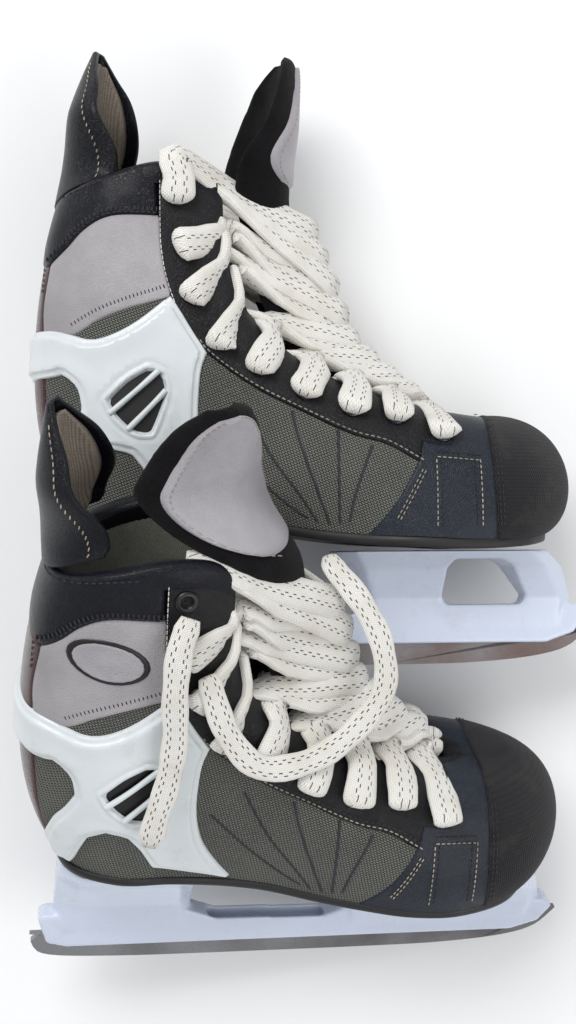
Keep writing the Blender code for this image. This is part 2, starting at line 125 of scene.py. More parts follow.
EYELET_SPOTS = ((64.6, 206), (67.4, 184), (71.9, 163), (84.3, 143), (100.4, 131.6), (119.7, 120.7),
                (140, 112.6), (159.3, 108.8), (179.5, 101.4))

# The tongue: front face x, z, then half width, how far its edges curl back, and its lean in degrees.
TONGUE = ((181, 108, 8, 3, 80), (166, 120, 11, 7, 70), (151, 131, 13, 12, 60), (138, 144, 15, 19, 46),
          (130, 163, 16, 27, 24), (123, 184, 17, 29, 10), (117, 201, 19, 27, 0), (116, 222, 31, 29, 0),
          (117, 240, 34, 22, -2), (117.5, 258, 30, 15, -2), (118, 270, 22, 11, 0), (118.3, 277, 10, 6, 0))
# How a soft top is turned about the vertical: the x it turns about, the heights between which the turn
# grows, the whole turn in degrees, and how far it also leans back.
TONGUE_TURN = {"right": (104, 204.4, 247, -52, 32), "left": (104, 204.4, 245, 14, 0)}
GUARD_TURN = (12, 218, 250, -26, 0)
TONGUE_THICK = 5.5
# The tendon guard: height, back x, how far its wings reach forward, and its half width.
GUARD = ((208, 9.5, 26, 27), (218, 11.5, 26.5, 26.5), (231, 14.5, 26.5, 25), (245, 18.5, 22.5, 21.5),
         (257, 22.5, 17.5, 16.5), (267, 26.5, 9.5, 10.5), (276, 30, 3, 4))

HEEL_TOWER = ((19, 16, 79, 5.2, 0), (34, 16, 78, 7, 0), (50, 17, 80, 14, 1), (60, 18, 84, 22, 2),
              (63.8, 19, 85, 23, 3))
TOE_TOWER = ((17, 150, 241, 5.2, 0), (30, 147, 244, 7, 0), (44, 139, 239, 17, 0), (51.8, 134, 230, 26, 0))
RAIL = ((11, 19), (9, 26), (12, 28), (78, 28), (90, 23), (140, 22), (152, 27), (246, 27), (251, 23),
        (245, 14), (232, 9.5), (22, 9.5), (13, 12))
TOE_WINDOW = ((186, 27), (220, 27), (222, 31), (214, 45), (209, 48), (188, 48), (185, 44), (184, 31))
RUNNER = ((6, 11), (9, 5), (19, 2), (45, 0.5), (80, 0), (170, 0), (205, 1), (231, 4), (245, 9), (254, 19),
          (250, 19.5), (241, 12.6), (230, 15), (25, 15), (11, 14.5))


# ---------------------------------------------------------------- the boot's surface

def loop_keys():
    """The form's meridians all the way round, the second half mirrored from the first."""
    left = [list(key) for key in FORM]
    right = [[(x, -y, z) for x, y, z in key] for key in FORM[-2:0:-1]]
    return np.array(left + right, float)


KEYS = loop_keys()


def spline(p0, p1, p2, p3, t):
    """A Catmull-Rom curve between p1 and p2."""
    return 0.5 * (2 * p1 + (p2 - p0) * t + (2 * p0 - 5 * p1 + 4 * p2 - p3) * t * t
                  + (3 * p1 - p0 - 3 * p2 + p3) * t**3)


def form(turn, rise):
    """Points on the boot's form: turn runs round it from the heel, rise from the sole to the collar."""
    turn, rise = np.broadcast_arrays(np.asarray(turn, float), np.asarray(rise, float))
    i = np.floor(turn).astype(int)
    t = (turn - i)[..., None, None]
    b = spline(*(KEYS[(i + k) % ROUND] for k in (-1, 0, 1, 2)), t)
    r = rise[..., None]
    s = 1 - r
    return (b[..., 0, :] * s**3 + b[..., 1, :] * 3 * s * s * r
            + b[..., 2, :] * 3 * s * r * r + b[..., 3, :] * r**3)


def unit(v):
    """The vector, or each row of an array of them, at length one."""
    return v / np.maximum(np.linalg.norm(v, axis=-1, keepdims=True), 1e-9)


def outward(turn, rise):
    """The way out of the boot."""
    rise = np.asarray(rise, float)
    up = form(turn, np.minimum(rise + 0.01, 1)) - form(turn, np.maximum(rise - 0.01, 0))
    along = form(np.asarray(turn) + 0.02, rise) - form(np.asarray(turn) - 0.02, rise)
    return -unit(np.cross(along, up))


def upward(turn):
    """The way up the boot at its top edge."""
    return unit(form(turn, 1.0) - form(turn, 0.97))


def skin(turn, rise, lift):
    """Points at a lift off the form."""
    return form(turn, rise) + outward(turn, rise) * np.asarray(lift, float)[..., None]


def locate(spots, half):
    """The turn and rise where the form has these side-view (x, z) places, on one half."""
    spots = np.atleast_2d(np.asarray(spots, float))
    low, high = (0.02, 11.98) if half > 0 else (12.02, 23.98)
    turns, rises = np.meshgrid(np.linspace(low, high, 97), np.linspace(0.02, 1, 41))
    turns, rises = turns.ravel(), rises.ravel()
    grid = form(turns, rises)[:, (0, 2)]
    nearest = ((spots[:, None] - grid[None]) ** 2).sum(-1).argmin(1)
    turn, rise = turns[nearest], rises[nearest]
    for _ in range(6):
        here = form(turn, rise)[:, (0, 2)]
        by_turn = (form(turn + 0.01, rise)[:, (0, 2)] - here) / 0.01
        by_rise = (form(turn, rise + 0.005)[:, (0, 2)] - here) / 0.005
        miss = spots - here
        det = by_turn[:, 0] * by_rise[:, 1] - by_turn[:, 1] * by_rise[:, 0]
        det = np.where(np.abs(det) < 40, 40 * np.sign(det + 1e-9), det)
        more_turn = (miss[:, 0] * by_rise[:, 1] - miss[:, 1] * by_rise[:, 0]) / det
        more_rise = (by_turn[:, 0] * miss[:, 1] - by_turn[:, 1] * miss[:, 0]) / det
        turn = np.clip(turn + np.clip(more_turn, -.5, .5), low, high)
        rise = np.clip(rise + np.clip(more_rise, -.1, .1), 0, 1)
    return turn, rise


# ---------------------------------------------------------------- outlines

def smooth(points, closed=True, step=2.5, sharp=38):
    """A curve through the points, which keeps its sharp corners."""
    p = np.asarray(points, float)
    n = len(p)
    out = []
    for i in range(n if closed else n - 1):
        a, b = p[i], p[(i + 1) % n]
        before = p[i - 1] if closed or i else 2 * a - b
        after = p[(i + 2) % n] if closed or i + 2 < n else 2 * b - a
        if turning(before, a, b) > sharp:
            before = 2 * a - b
        if turning(a, b, after) > sharp:
            after = 2 * b - a
        count = max(1, int(np.linalg.norm(b - a) / step))
        for k in range(count):
            out.append(spline(before, a, b, after, k / count))
    if not closed:
        out.append(p[-1])
    return np.array(out)


def turning(a, b, c):
    """How far the path turns at b, in degrees."""
    u, v = unit(b - a), unit(c - b)
    return math.degrees(math.acos(np.clip(u @ v, -1, 1)))


def distance(points, outline):
    """How far inside the outline each point is, in millimetres; outside is negative."""
    a, b = outline, np.roll(outline, -1, 0)
    best = np.full(len(points), 1e9)
    inside = np.zeros(len(points), bool)
    for p, q in zip(a, b):
        d = q - p
        t = np.clip(((points - p) @ d) / max(d @ d, 1e-9), 0, 1)
        best = np.minimum(best, np.linalg.norm(points - p - t[:, None] * d, axis=1))
        if p[1] != q[1]:
            crosses = (p[1] > points[:, 1]) != (q[1] > points[:, 1])
            at = p[0] + (points[:, 1] - p[1]) / (q[1] - p[1]) * d[0]
            inside ^= crosses & (points[:, 0] < at)
    return np.where(inside, best, -best)


def split(tris, par, dist, level):
    """Cuts the triangles along the line where dist is level."""
    above = dist > level
    corner = above[tris]
    mixed = corner.any(1) & ~corner.all(1)
    kept, t, corner = tris[~mixed], tris[mixed], corner[mixed]
    lone = corner == (corner.sum(1) == 1)[:, None]
    k, rows = lone.argmax(1), np.arange(len(t))
    a, b, c = t[rows, k], t[rows, (k + 1) % 3], t[rows, (k + 2) % 3]
    ends = np.sort(np.concatenate([np.stack([a, b], 1), np.stack([a, c], 1)]), 1)
    unique, inverse = np.unique(ends, axis=0, return_inverse=True)
    inverse = inverse.reshape(-1)
    u, v = unique.T
    share = np.clip((level - dist[u]) / (dist[v] - dist[u]), 0.001, 0.999)[:, None]
    new = len(par) + inverse
    ab, ac = new[:len(t)], new[len(t):]
    par = np.concatenate([par, par[u] + (par[v] - par[u]) * share])
    dist = np.concatenate([dist, np.full(len(u), float(level))])
    cut = [np.stack(three, 1) for three in ((a, ab, ac), (ab, b, c), (ab, c, ac))]
    tris = np.concatenate([kept, *cut])
    return tris, par, dist


def run_along(path):
    """How far along a path each of its points is."""
    return np.concatenate([[0], np.cumsum(np.linalg.norm(np.diff(path, axis=0), axis=1))])


GIRTH_TURNS = np.linspace(0, ROUND, 241)
GIRTH = run_along(form(GIRTH_TURNS, 0.45))


def around(turn):
    """How far round the boot a turn is, in millimetres."""
    return np.interp(turn, GIRTH_TURNS, GIRTH)


def panel_mesh(outline, lift, holes=(), half=0, levels=(0.0, 0.5, 1.1, 2.0), grow=0.0, flat_uv=True):
    """The boot's skin inside a side-view outline, as points, triangles and UVs.

    lift(distance from the edge, x, z) is the height off the form. Levels are distances that get an edge loop.
    """
    first, last = {0: (0, ROUND), 1: (0, ROUND // 2), -1: (ROUND // 2, ROUND)}[half]
    columns = (last - first) * SPAN + 1
    turn, rise = np.meshgrid(np.linspace(first, last, columns), np.linspace(0, 1, RISES + 1))
    par = np.stack([turn.ravel(), rise.ravel()], 1)
    r, c = np.meshgrid(np.arange(RISES), np.arange(columns - 1), indexing="ij")
    a = (r * columns + c).ravel()
    above = a + columns
    tris = np.concatenate([np.stack([a, a + 1, above + 1], 1), np.stack([a, above + 1, above], 1)])
    curve = smooth(outline)
    cutters = [smooth(hole) for hole in holes]

    def measure(p):
        flat = form(p[:, 0], p[:, 1])[:, (0, 2)]
        d = distance(flat, curve) + grow
        for hole in cutters:
            d = np.minimum(d, -distance(flat, hole))
        return d

    dist = measure(par)
    for level in levels:
        tris, par, dist = split(tris, par, dist, level)
    tris = tris[dist[tris].mean(1) > 0]
    used, tris = np.unique(tris, return_inverse=True)
    tris = tris.reshape(-1, 3)
    par, dist = par[used], np.maximum(dist[used], 0)
    flat = form(par[:, 0], par[:, 1])
    points = skin(par[:, 0], par[:, 1], lift(dist, flat[:, 0], flat[:, 2]))
    uv = flat[:, (0, 2)] if flat_uv else np.stack([around(par[:, 0]), flat[:, 2]], 1)
    return points, tris, uv


def dome(dist, height, edge=1.6, base=-0.2):
    """A panel's height from its edge inwards: a rounded edge, then flat."""
    t = np.clip(dist / edge, 0, 1)
    return base + (height - base) * np.sqrt(1 - (1 - t) ** 2)


# ---------------------------------------------------------------- making objects

def placement(side):
    angles, origin = PLACES[side]
    turn = Euler([math.radians(a) for a in angles], "XYZ").to_matrix()
    return np.array(turn), np.array(origin, float)


def to_row(points, side):
    """Points of a skate's own frame, in the row frame, in metres."""
    turn, origin = placement(side)
    return (np.asarray(points, float) @ turn.T + origin) * MM


def put(name, points, faces, side, material, uv=None, body=ROOT, weld=False):
    """An object of one skate from points in its own frame."""
    mesh = bpy.data.meshes.new(name)
    mesh.from_pydata(to_row(points, side).tolist(), [], [tuple(int(v) for v in f) for f in faces])
    if uv is not None:
        layer = mesh.uv_layers.new(name="UVMap")
        corner = np.zeros(len(mesh.loops), np.int32)
        mesh.loops.foreach_get("vertex_index", corner)
        layer.data.foreach_set("uv", np.asarray(uv, np.float32)[corner].ravel())
    edit = bmesh.new()
    edit.from_mesh(mesh)
    if weld:
        bmesh.ops.remove_doubles(edit, verts=edit.verts, dist=2e-6)
    bmesh.ops.dissolve_degenerate(edit, dist=1e-6, edges=edit.edges)
    bmesh.ops.recalc_face_normals(edit, faces=edit.faces)
    edit.to_mesh(mesh)
    edit.free()
    mesh.validate()
    mesh.materials.append(material)
    mesh.polygons.foreach_set("use_smooth", [True] * len(mesh.polygons))
    obj = bpy.data.objects.new(f"{name}_{side}", mesh)
    bpy.context.scene.collection.objects.link(obj)
    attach(obj, body)
    return obj


def stands_for(obj, *nodes):
    """Makes the piece stand in for these CAD nodes, which it hides."""
    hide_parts(*nodes)
    return obj


def grid_faces(rows, columns, closed=False):
    """Quads over a grid of points laid out row by row."""
    wide = columns if closed else columns - 1
    return [(r * columns + c, r * columns + (c + 1) % columns, (r + 1) * columns + (c + 1) % columns,
             (r + 1) * columns + c) for r in range(rows - 1) for c in range(wide)]


class Gathered:
    """Points and faces of many small bodies, for one mesh."""

    def __init__(self):
        self.points, self.faces, self.count = [], [], 0

    def add(self, points, faces):
        self.points.append(points)
        self.faces += [tuple(self.count + v for v in face) for face in faces]
        self.count += len(points)

    def put(self, name, *args, **more):
        return put(name, np.concatenate(self.points), self.faces, *args, **more)


def capped(rings):
    """Points and faces of a closed loft whose two ends are strips across the ring."""
    rings = np.asarray(rings, float)
    rows, n = rings.shape[:2]
    faces = grid_faces(rows, n, closed=True)
    for start in (0, (rows - 1) * n):
        faces += [(start + i, start + i + 1, start + n - 2 - i, start + n - 1 - i) for i in range(n // 2 - 1)]
    return rings.reshape(-1, 3), faces


# ---------------------------------------------------------------- materials

def srgb(*rgb):
    """Linear colour from 0-255 display values."""
    return tuple(((c / 255 + 0.055) / 1.055) ** 2.4 if c > 10 else c / 255 / 12.92 for c in rgb)


class Nodes:
    """A short way to write one material's node tree."""

    def __init__(self, name, roughness=0.5, metallic=0.0, coat=0.0, sheen=0.0, specular=0.5):
        self.material = bpy.data.materials.new(name)
        self.material.use_nodes = True
        self.tree = self.material.node_tree
        self.shader = self.tree.nodes["Principled BSDF"]
        for socket, value in (("Roughness", roughness), ("Metallic", metallic), ("Coat Weight", coat),
                              ("Coat Roughness", 0.2), ("Sheen Weight", sheen), ("Sheen Roughness", 0.5),
                              ("Specular IOR Level", specular)):
            self.shader.inputs[socket].default_value = value
        coordinates = self.node("TexCoord")
        self.space, self.uv = coordinates.outputs["Object"], coordinates.outputs["UV"]

    def node(self, kind, inputs=(), **settings):
        made = self.tree.nodes.new("ShaderNode" + kind)
        for key, value in settings.items():
            setattr(made, key, value)
        for key, value in dict(inputs).items():
            if isinstance(value, bpy.types.NodeSocket):
                self.tree.links.new(value, made.inputs[key])
            else:
                made.inputs[key].default_value = value
        return made

    def math(self, operation, *values):
        return self.node("Math", dict(enumerate(values)), operation=operation).outputs[0]

    def times(self, first, second):
        return self.math("MULTIPLY", first, second)

    def plus(self, first, second):
        return self.math("ADD", first, second)

    def gap(self, first, second):
        """How far apart the two values are."""
        return self.math("ABSOLUTE", self.math("SUBTRACT", first, second))

    def wave(self, value, pitch):
        """Humps from 0 to 1 at a pitch."""
        return self.math("ABSOLUTE", self.math("SINE", self.times(value, math.pi / pitch)))

    def noise(self, scale, detail=3.0, stretch=None, roughness=0.5):
        vector = self.space
        if stretch:
            vector = self.node("Mapping", {"Vector": vector, "Scale": stretch}).outputs[0]
        return self.node("TexNoise", {"Vector": vector, "Scale": scale, "Detail": detail,
                                      "Roughness": roughness}).outputs["Fac"]

    def blend(self, share, first, second):
        made = self.node("Mix", data_type="RGBA")
        for key, value in ((0, share), (6, first), (7, second)):
            if isinstance(value, bpy.types.NodeSocket):
                self.tree.links.new(value, made.inputs[key])
            else:
                made.inputs[key].default_value = value if key == 0 else (*value[:3], 1)
        return made.outputs[2]

    def span(self, value, low, high, to_low=0.0, to_high=1.0):
        return self.node("MapRange", {"Value": value, "From Min": low, "From Max": high, "To Min": to_low,
                                      "To Max": to_high}).outputs[0]

    def colour(self, socket):
        self.tree.links.new(socket, self.shader.inputs["Base Color"])

    def rough(self, socket):
        self.tree.links.new(socket, self.shader.inputs["Roughness"])

    def bump(self, height, depth):
        """Bump of this depth in millimetres, on top of any before it."""
        made = self.node("Bump", {"Height": height, "Distance": depth * MM, "Strength": 1.0})
        before = self.shader.inputs["Normal"].links
        if before:
            self.tree.links.new(before[0].from_socket, made.inputs["Normal"])
        self.tree.links.new(made.outputs[0], self.shader.inputs["Normal"])


def scaled(rgb, by):
    """A colour made lighter or darker."""
    return tuple(c * by for c in rgb)


GRAIN = 0.12                     # depth of leather's grain, in millimetres
TWILL_LEAN = math.radians(28)    # how far the weaves' rows are turned


def leather(name, rgb, roughness, coat=0.0, wear=(120, 116, 112), wear_share=0.2, specular=0.3):
    """Coated leather: pebbled grain, cloudy tone and scuffs."""
    n = Nodes(name, roughness, coat=coat, specular=specular)
    cloud = n.noise(22, 4)
    fine = n.noise(420, 3)
    base = n.blend(n.span(cloud, 0.3, 0.7), scaled(rgb, 0.78), scaled(rgb, 1.25))
    scuff = n.times(n.span(n.noise(60, 6, roughness=0.7), 0.62, 0.78), n.span(fine, 0.45, 0.6))
    n.colour(n.blend(n.times(scuff, wear_share), base, srgb(*wear)))
    n.rough(n.span(n.plus(cloud, n.times(fine, 0.4)), 0.3, 1.1, roughness - 0.08, roughness + 0.14))
    pebbles = n.node("TexVoronoi", {"Vector": n.space, "Scale": 1100}, feature="DISTANCE_TO_EDGE")
    n.bump(n.span(pebbles.outputs["Distance"], 0.0, 0.25), GRAIN)
    n.bump(n.noise(180, 4), GRAIN * 1.6)
    return n.material


def woven(name, thread, gap, pitch=1.25, depth=0.35, roughness=0.75):
    """A twill of rounded threads with dark gaps, laid out in UV millimetres."""
    n = Nodes(name, roughness, sheen=0.04, specular=0.25)
    flat = n.node("Mapping", {"Vector": n.uv, "Rotation": (0, 0, TWILL_LEAN)}).outputs[0]
    parts = n.node("SeparateXYZ", {"Vector": flat})
    row = n.math("DIVIDE", parts.outputs[1], pitch * 0.72)
    shift = n.times(n.math("FLOOR", row), 0.5)
    column = n.plus(n.math("DIVIDE", parts.outputs[0], pitch * 1.35), shift)

    def hump(value):
        centred = n.gap(n.times(n.math("FRACT", value), 2.0), 1.0)
        return n.math("SUBTRACT", 1.0, n.math("POWER", centred, 2.5))

    height = n.times(hump(row), hump(column))
    cloud = n.noise(40, 3)
    thread_tone = n.blend(n.span(cloud, 0.3, 0.7), scaled(thread, 0.8), scaled(thread, 1.2))
    thread_tone = n.blend(n.span(n.noise(900, 2), 0.35, 0.75), thread_tone, scaled(thread, 1.35))
    n.colour(n.blend(n.span(height, 0.18, 0.62), gap, thread_tone))
    n.rough(n.span(cloud, 0.2, 0.8, roughness - 0.1, min(roughness + 0.1, 1)))
    n.bump(height, depth)
    return n.material


def plastic(name, rgb, roughness=0.32, dirt=(150, 146, 138)):
    """Moulded plastic, a little dulled, with faint flow marks and grime."""
    n = Nodes(name, roughness, coat=0.3)
    cloud = n.noise(18, 4)
    grime = n.times(n.span(n.noise(55, 7, roughness=0.72), 0.56, 0.78), 0.3)
    base = n.blend(n.span(cloud, 0.3, 0.7), scaled(rgb, 0.93), rgb)
    n.colour(n.blend(grime, base, srgb(*dirt)))
    n.rough(n.span(n.noise(90, 5), 0.3, 0.7, roughness - 0.06, roughness + 0.16))
    n.bump(n.noise(700, 2), 0.03)
    n.bump(n.noise(30, 2), 0.25)
    return n.material


def felt(name, rgb):
    """Matted felt."""
    n = Nodes(name, 0.95, sheen=0.05, specular=0.1)
    fine, coarse = n.noise(700, 5, roughness=0.75), n.noise(90, 4)
    mixed = n.plus(n.times(fine, 0.6), n.times(coarse, 0.5))
    n.colour(n.blend(n.span(mixed, 0.35, 0.75), scaled(rgb, 0.5), scaled(rgb, 2.1)))
    n.rough(n.span(fine, 0.2, 0.8, 0.85, 1.0))
    n.bump(mixed, 1.3)
    return n.material


def steel(name, reflected_tint):
    """Brushed steel, blotched with a painted reflection of this tint."""
    n = Nodes(name, 0.34, metallic=1.0)
    brushed = n.noise(60, 5, stretch=(3, 60, 60), roughness=0.7)
    # Painted reflection: noise blotches where the steel takes the reflected tint in place of its brushed
    # grey.
    reflection_blotches = n.span(n.noise(14, 5), 0.42, 0.7)
    n.colour(n.blend(reflection_blotches, n.blend(brushed, srgb(128, 128, 130), srgb(176, 177, 180)), srgb(*reflected_tint)))
    n.rough(n.span(brushed, 0.3, 0.7, 0.24, 0.46))
    n.bump(brushed, 0.05)
    return n.material


def nylon(name, rgb):
    """Ballistic nylon with fine upright ribs."""
    n = Nodes(name, 0.72, sheen=0.04, specular=0.25)
    parts = n.node("SeparateXYZ", {"Vector": n.uv})
    across, along = n.wave(parts.outputs[0], 1.05), n.wave(parts.outputs[1], 1.6)
    height = n.times(n.plus(across, 0.35), n.plus(n.times(along, 0.4), 0.6))
    dust = n.span(n.noise(45, 6, roughness=0.7), 0.5, 0.75)
    tone = n.blend(n.span(height, 0.2, 1.2), scaled(rgb, 0.45), scaled(rgb, 1.5))
    n.colour(n.blend(n.times(dust, 0.35), tone, srgb(92, 88, 84)))
    n.rough(n.span(dust, 0, 1, 0.66, 0.85))
    n.bump(height, 0.3)
    return n.material


def lace_cloth(name, rgb):
    """Flat woven lace with two double rows of dark tracer dashes. U is across and V along it, in mm."""
    n = Nodes(name, 0.9, sheen=0.3, specular=0.25)
    parts = n.node("SeparateXYZ", {"Vector": n.uv})
    u, v = parts.outputs[0], parts.outputs[1]
    off_middle = n.math("ABSOLUTE", u)
    chevrons = n.wave(n.plus(v, n.times(off_middle, 0.8)), 0.95)
    weave = n.plus(n.times(chevrons, 0.6), n.times(n.wave(u, 0.8), 0.4))
    dirt = n.times(n.span(n.noise(70, 5), 0.45, 0.75), 0.4)
    tone = n.blend(n.span(weave, 0.1, 0.8), scaled(rgb, 0.72), rgb)
    tone = n.blend(dirt, tone, srgb(196, 186, 168))
    pair_at, half_apart, half_wide, pitch, share = 2.5, 0.62, 0.24, 4.4, 0.38
    line = n.math("LESS_THAN", n.gap(n.gap(off_middle, pair_at), half_apart), half_wide)
    stagger = n.times(n.math("GREATER_THAN", off_middle, pair_at), 0.5)
    dash = n.math("LESS_THAN", n.math("FRACT", n.plus(n.math("DIVIDE", v, pitch), stagger)), share)
    n.colour(n.blend(n.times(line, dash), tone, srgb(62, 62, 68)))
    n.rough(n.span(weave, 0, 1, 0.95, 0.82))
    n.bump(weave, 0.28)
    n.bump(n.noise(260, 3), 0.35)
    return n.material


def rubbery(name, rgb, roughness=0.45):
    """A plain rubber, fibre or thread, a little uneven in tone."""
    n = Nodes(name, roughness)
    cloud = n.noise(60, 4)
    n.colour(n.blend(n.span(cloud, 0.3, 0.7), scaled(rgb, 0.7), scaled(rgb, 1.5)))
    n.rough(n.span(cloud, 0.3, 0.7, roughness - 0.1, roughness + 0.12))
    n.bump(n.noise(800, 3), 0.05)
    return n.material


PAINT = {
    "collar": leather("collar_leather", srgb(9, 10, 19), 0.3, coat=0.1, specular=0.2, wear_share=0.1),
    "facing": leather("facing_leather", srgb(13, 13, 16), 0.4),
    "silver": leather("silver_leather", srgb(160, 156, 159), 0.36, wear=(120, 116, 118)),
    "navy": leather("navy_leather", srgb(25, 31, 42), 0.36, coat=0.1),
    "oxblood": leather("oxblood_leather", srgb(58, 14, 18), 0.24, coat=0.4, wear=(90, 60, 60)),
    "mesh": woven("side_weave", srgb(102, 103, 97), srgb(10, 10, 10), roughness=0.85),
    "toe": nylon("toe_nylon", srgb(25, 23, 26)),
    "white": plastic("support_plastic", srgb(214, 219, 221)),
    "holder": plastic("holder_plastic", srgb(205, 213, 230), 0.26, dirt=(168, 150, 150)),
    "felt": felt("tongue_felt", srgb(15, 13, 15)),
    "vinyl": leather("tongue_vinyl", srgb(160, 156, 161), 0.4, wear=(126, 122, 122)),
    "liner": woven("liner_weave", srgb(152, 153, 142), srgb(96, 97, 90), pitch=0.9, depth=0.15,
                   roughness=0.9),
    "guard_liner": woven("guard_weave", srgb(140, 130, 118), srgb(86, 78, 70), pitch=0.8, depth=0.15,
                         roughness=0.9),
    "lace": lace_cloth("lace_weave", srgb(236, 233, 226)),
    # The runners' tints are painted reflections: reddish brown from a red-brown surface on the left runner, a
    # darker warm grey on the right.
    "steel_right": steel("runner_steel", (104, 100, 100)),
    "steel_left": steel("runner_steel_brown", (112, 92, 86)),
    "vent_black": rubbery("vent_plastic", srgb(14, 12, 14), 0.35),
    "black": rubbery("black_plastic", srgb(16, 16, 18), 0.3),
    "sole": rubbery("sole_composite", srgb(22, 21, 22), 0.55),
    "thread_dark": rubbery("dark_thread", srgb(40, 40, 46), 0.8),
    "thread_tan": rubbery("tan_thread", srgb(150, 140, 126), 0.8),
    "thread_white": rubbery("white_thread", srgb(200, 198, 192), 0.8),
    "board": rubbery("insole_board_fibre", srgb(96, 84, 70), 0.9),
}


# ---------------------------------------------------------------- the boot

def half_of(word, side):
    """1 for the half on the wearer's left, -1 for the one on the right."""
    outer = -1 if side == "right" else 1
    return outer if word == "outer" else -outer


def shell(side):
    """The thin leather body under the panels, inside and out."""
    turns = np.linspace(0, ROUND, ROUND * 7, endpoint=False)
    rings = [skin(turns, r, np.full(len(turns), 0.1)) for r in np.linspace(0, 1, 49)]
    rings += [skin(turns, r, np.full(len(turns), -2.4)) for r in np.linspace(1, 0.02, 40)]
    rings.append(rings[0])
    points = np.concatenate(rings)
    faces = grid_faces(len(rings), len(turns), closed=True)
    stands_for(put("boot_body", points, faces, side, PAINT["facing"], weld=True), f"boot_shell_{side}")


def skins(side):
    """The panels of the upper, each a raised skin with rounded edges."""
    def one(name, outline, height, paint, node, edge=1.6, grow=0.0, half=0, puff=0.0):
        mesh = panel_mesh(outline, lambda d, x, z: dome(d, height, edge) + puff * np.clip(d / 9, 0, 1) ** 0.7,
                          half=half, grow=grow, flat_uv=half != 0)
        stands_for(put(name, *mesh[:2], side, PAINT[paint], uv=mesh[2]), f"{node}_{side}")

    one("collar", COLLAR, 2.0, "collar", "collar_band", puff=0.9, edge=2.2)
    one("heel_strip", BACKSTAY, 1.6, "oxblood", "backstay")
    one("vamp_leather", VAMP, 1.5, "navy", "vamp", grow=1.5)
    one("toe_cover", TOE, 2.3, "toe", "toe_cap", edge=1.8)
    for word in ("outer", "inner"):
        for name, outline, height, paint, node, grow, puff in (
            ("facing", EYESTAY, 2.1, "facing", "eyestay", 0, 0),
            ("ankle", ANKLE, 1.5, "silver", "ankle_panel", 1.2, 0.5),
            ("ankle_weave", QUARTER, 0.9, "mesh", "quarter_mesh", 1.0, 0),
            ("side_weave", SIDE, 0.9, "mesh", "side_mesh", 1.0, 0.3),
        ):
            one(f"{name}_{word}", outline, height, paint, f"{node}_{word}", grow=grow,
                half=half_of(word, side), puff=puff)


def support(side):
    """The moulded ankle support: a thin flange, a raised rim inside it, and a window with two bars across."""
    window = smooth(WINDOW, step=1.5)

    def lift(d, x, z):
        near = -distance(np.stack([x, z], 1), window)
        step = np.clip((d - 2.3) / 1.3, 0, 1)
        body = 2.6 + 1.5 * step * step * (3 - 2 * step) - 0.5 * np.clip((d - 5) / 6, 0, 1)
        body = np.where(d < 1.0, dome(d, 2.6, 1.0), body)
        lip = 3.7 + 1.0 * np.exp(-((near - 1.7) / 1.0) ** 2) - 1.2 * np.clip(1 - near / 1.0, 0, 1)
        return np.maximum(np.where(near < d + 0.6, np.maximum(lip, np.where(near > 4, body, 0)), body), 0.2)

    mesh = panel_mesh(SUPPORT, lift, holes=[WINDOW], levels=(0.0, 0.5, 1.0, 2.3, 3.0, 3.6, 5.0))
    obj = put("ankle_frame", *mesh[:2], side, PAINT["white"], uv=mesh[2])
    stands_for(obj, f"ankle_support_{side}")
    for word in ("outer", "inner"):
        half = half_of(word, side)
        mesh = panel_mesh(VENT_BACK, lambda d, x, z: 2.2 + 0 * d, half=half, levels=(0.0,))
        obj = put(f"vent_grille_{word}", *mesh[:2], side, PAINT["vent_black"], uv=mesh[2])
        stands_for(obj, f"vent_insert_{word}_{side}")
        for k, ends in enumerate(BARS):
            path, normal = on_skin(np.linspace(*map(np.array, ends), 9), half, 4.2)
            points, faces, _, _ = ribbon(path, normal, width=2.5, thick=2.0, ends=(1.0, 1.0))
            obj = put(f"vent_bar_{word}_{k + 1}", points, faces, side, PAINT["white"])


def badge(side):
    """A plain oval badge: a dark rim, a pale field and a raised lozenge, on the outer ankle panel."""
    x0, z0, a, b = 36, 179, 16, 9.5
    t = np.linspace(0, 2 * math.pi, 48, endpoint=False)

    def field(d, x, z):
        lozenge = np.clip(1.2 - (np.abs(x - x0) / 8 + np.abs(z - z0) / 3.6), 0, 0.5) * 2
        return 2.5 + dome(d, 0.5, 1.0, -0.4) + 0.7 * lozenge

    def base(d, x, z):
        return 2.1 + dome(d, 0.5, 1.2, 0.0)

    for name, size, lift, paint in (("badge", 1.0, base, "vent_black"),
                                    ("badge_field", 0.87, field, "vinyl")):
        across, up = a * size * np.cos(t), b * size * np.sin(t)
        outline = np.stack([x0 + across, z0 + up - 0.12 * across], 1)
        mesh = panel_mesh(outline, lift, half=half_of("outer", side), levels=(0.0, 0.5, 1.0, 1.5, 2.2))
        obj = put(name, *mesh[:2], side, PAINT[paint], uv=mesh[2])
        if name == "badge":
            stands_for(obj, f"emblem_{side}")


def edge_roll(name, side, low, high, outer, inner, paint):
    """Leather rolled over the top edge between two turns, from an outer lift to inner(turns)."""
    count = int((high - low) * 10) + 1
    turns = np.linspace(low, high, count)
    top, out, up = form(turns, 1.0), outward(turns, np.ones(count)), upward(turns)
    outer_at, inner_at = np.full(count, float(outer)), inner(turns)
    middle, radius = (outer_at + inner_at) / 2, (outer_at - inner_at) / 2
    rings = [skin(turns, 0.955, outer_at - 0.5), skin(turns, 0.97, outer_at)]
    for angle in np.linspace(0, math.pi, 11):
        rings.append(top + out * (middle + radius * math.cos(angle))[:, None]
                     + up * (np.minimum(radius, 3.4) * math.sin(angle))[:, None])
    rings += [skin(turns, 0.97, inner_at), skin(turns, 0.93, inner_at + 0.3)]
    points = np.concatenate(rings)
    uv = np.stack([np.tile(around(turns), len(rings)), np.repeat(np.arange(len(rings)) * 1.2, count)], 1)
    return put(name, points, grid_faces(len(rings), count), side, PAINT[paint], uv=uv)


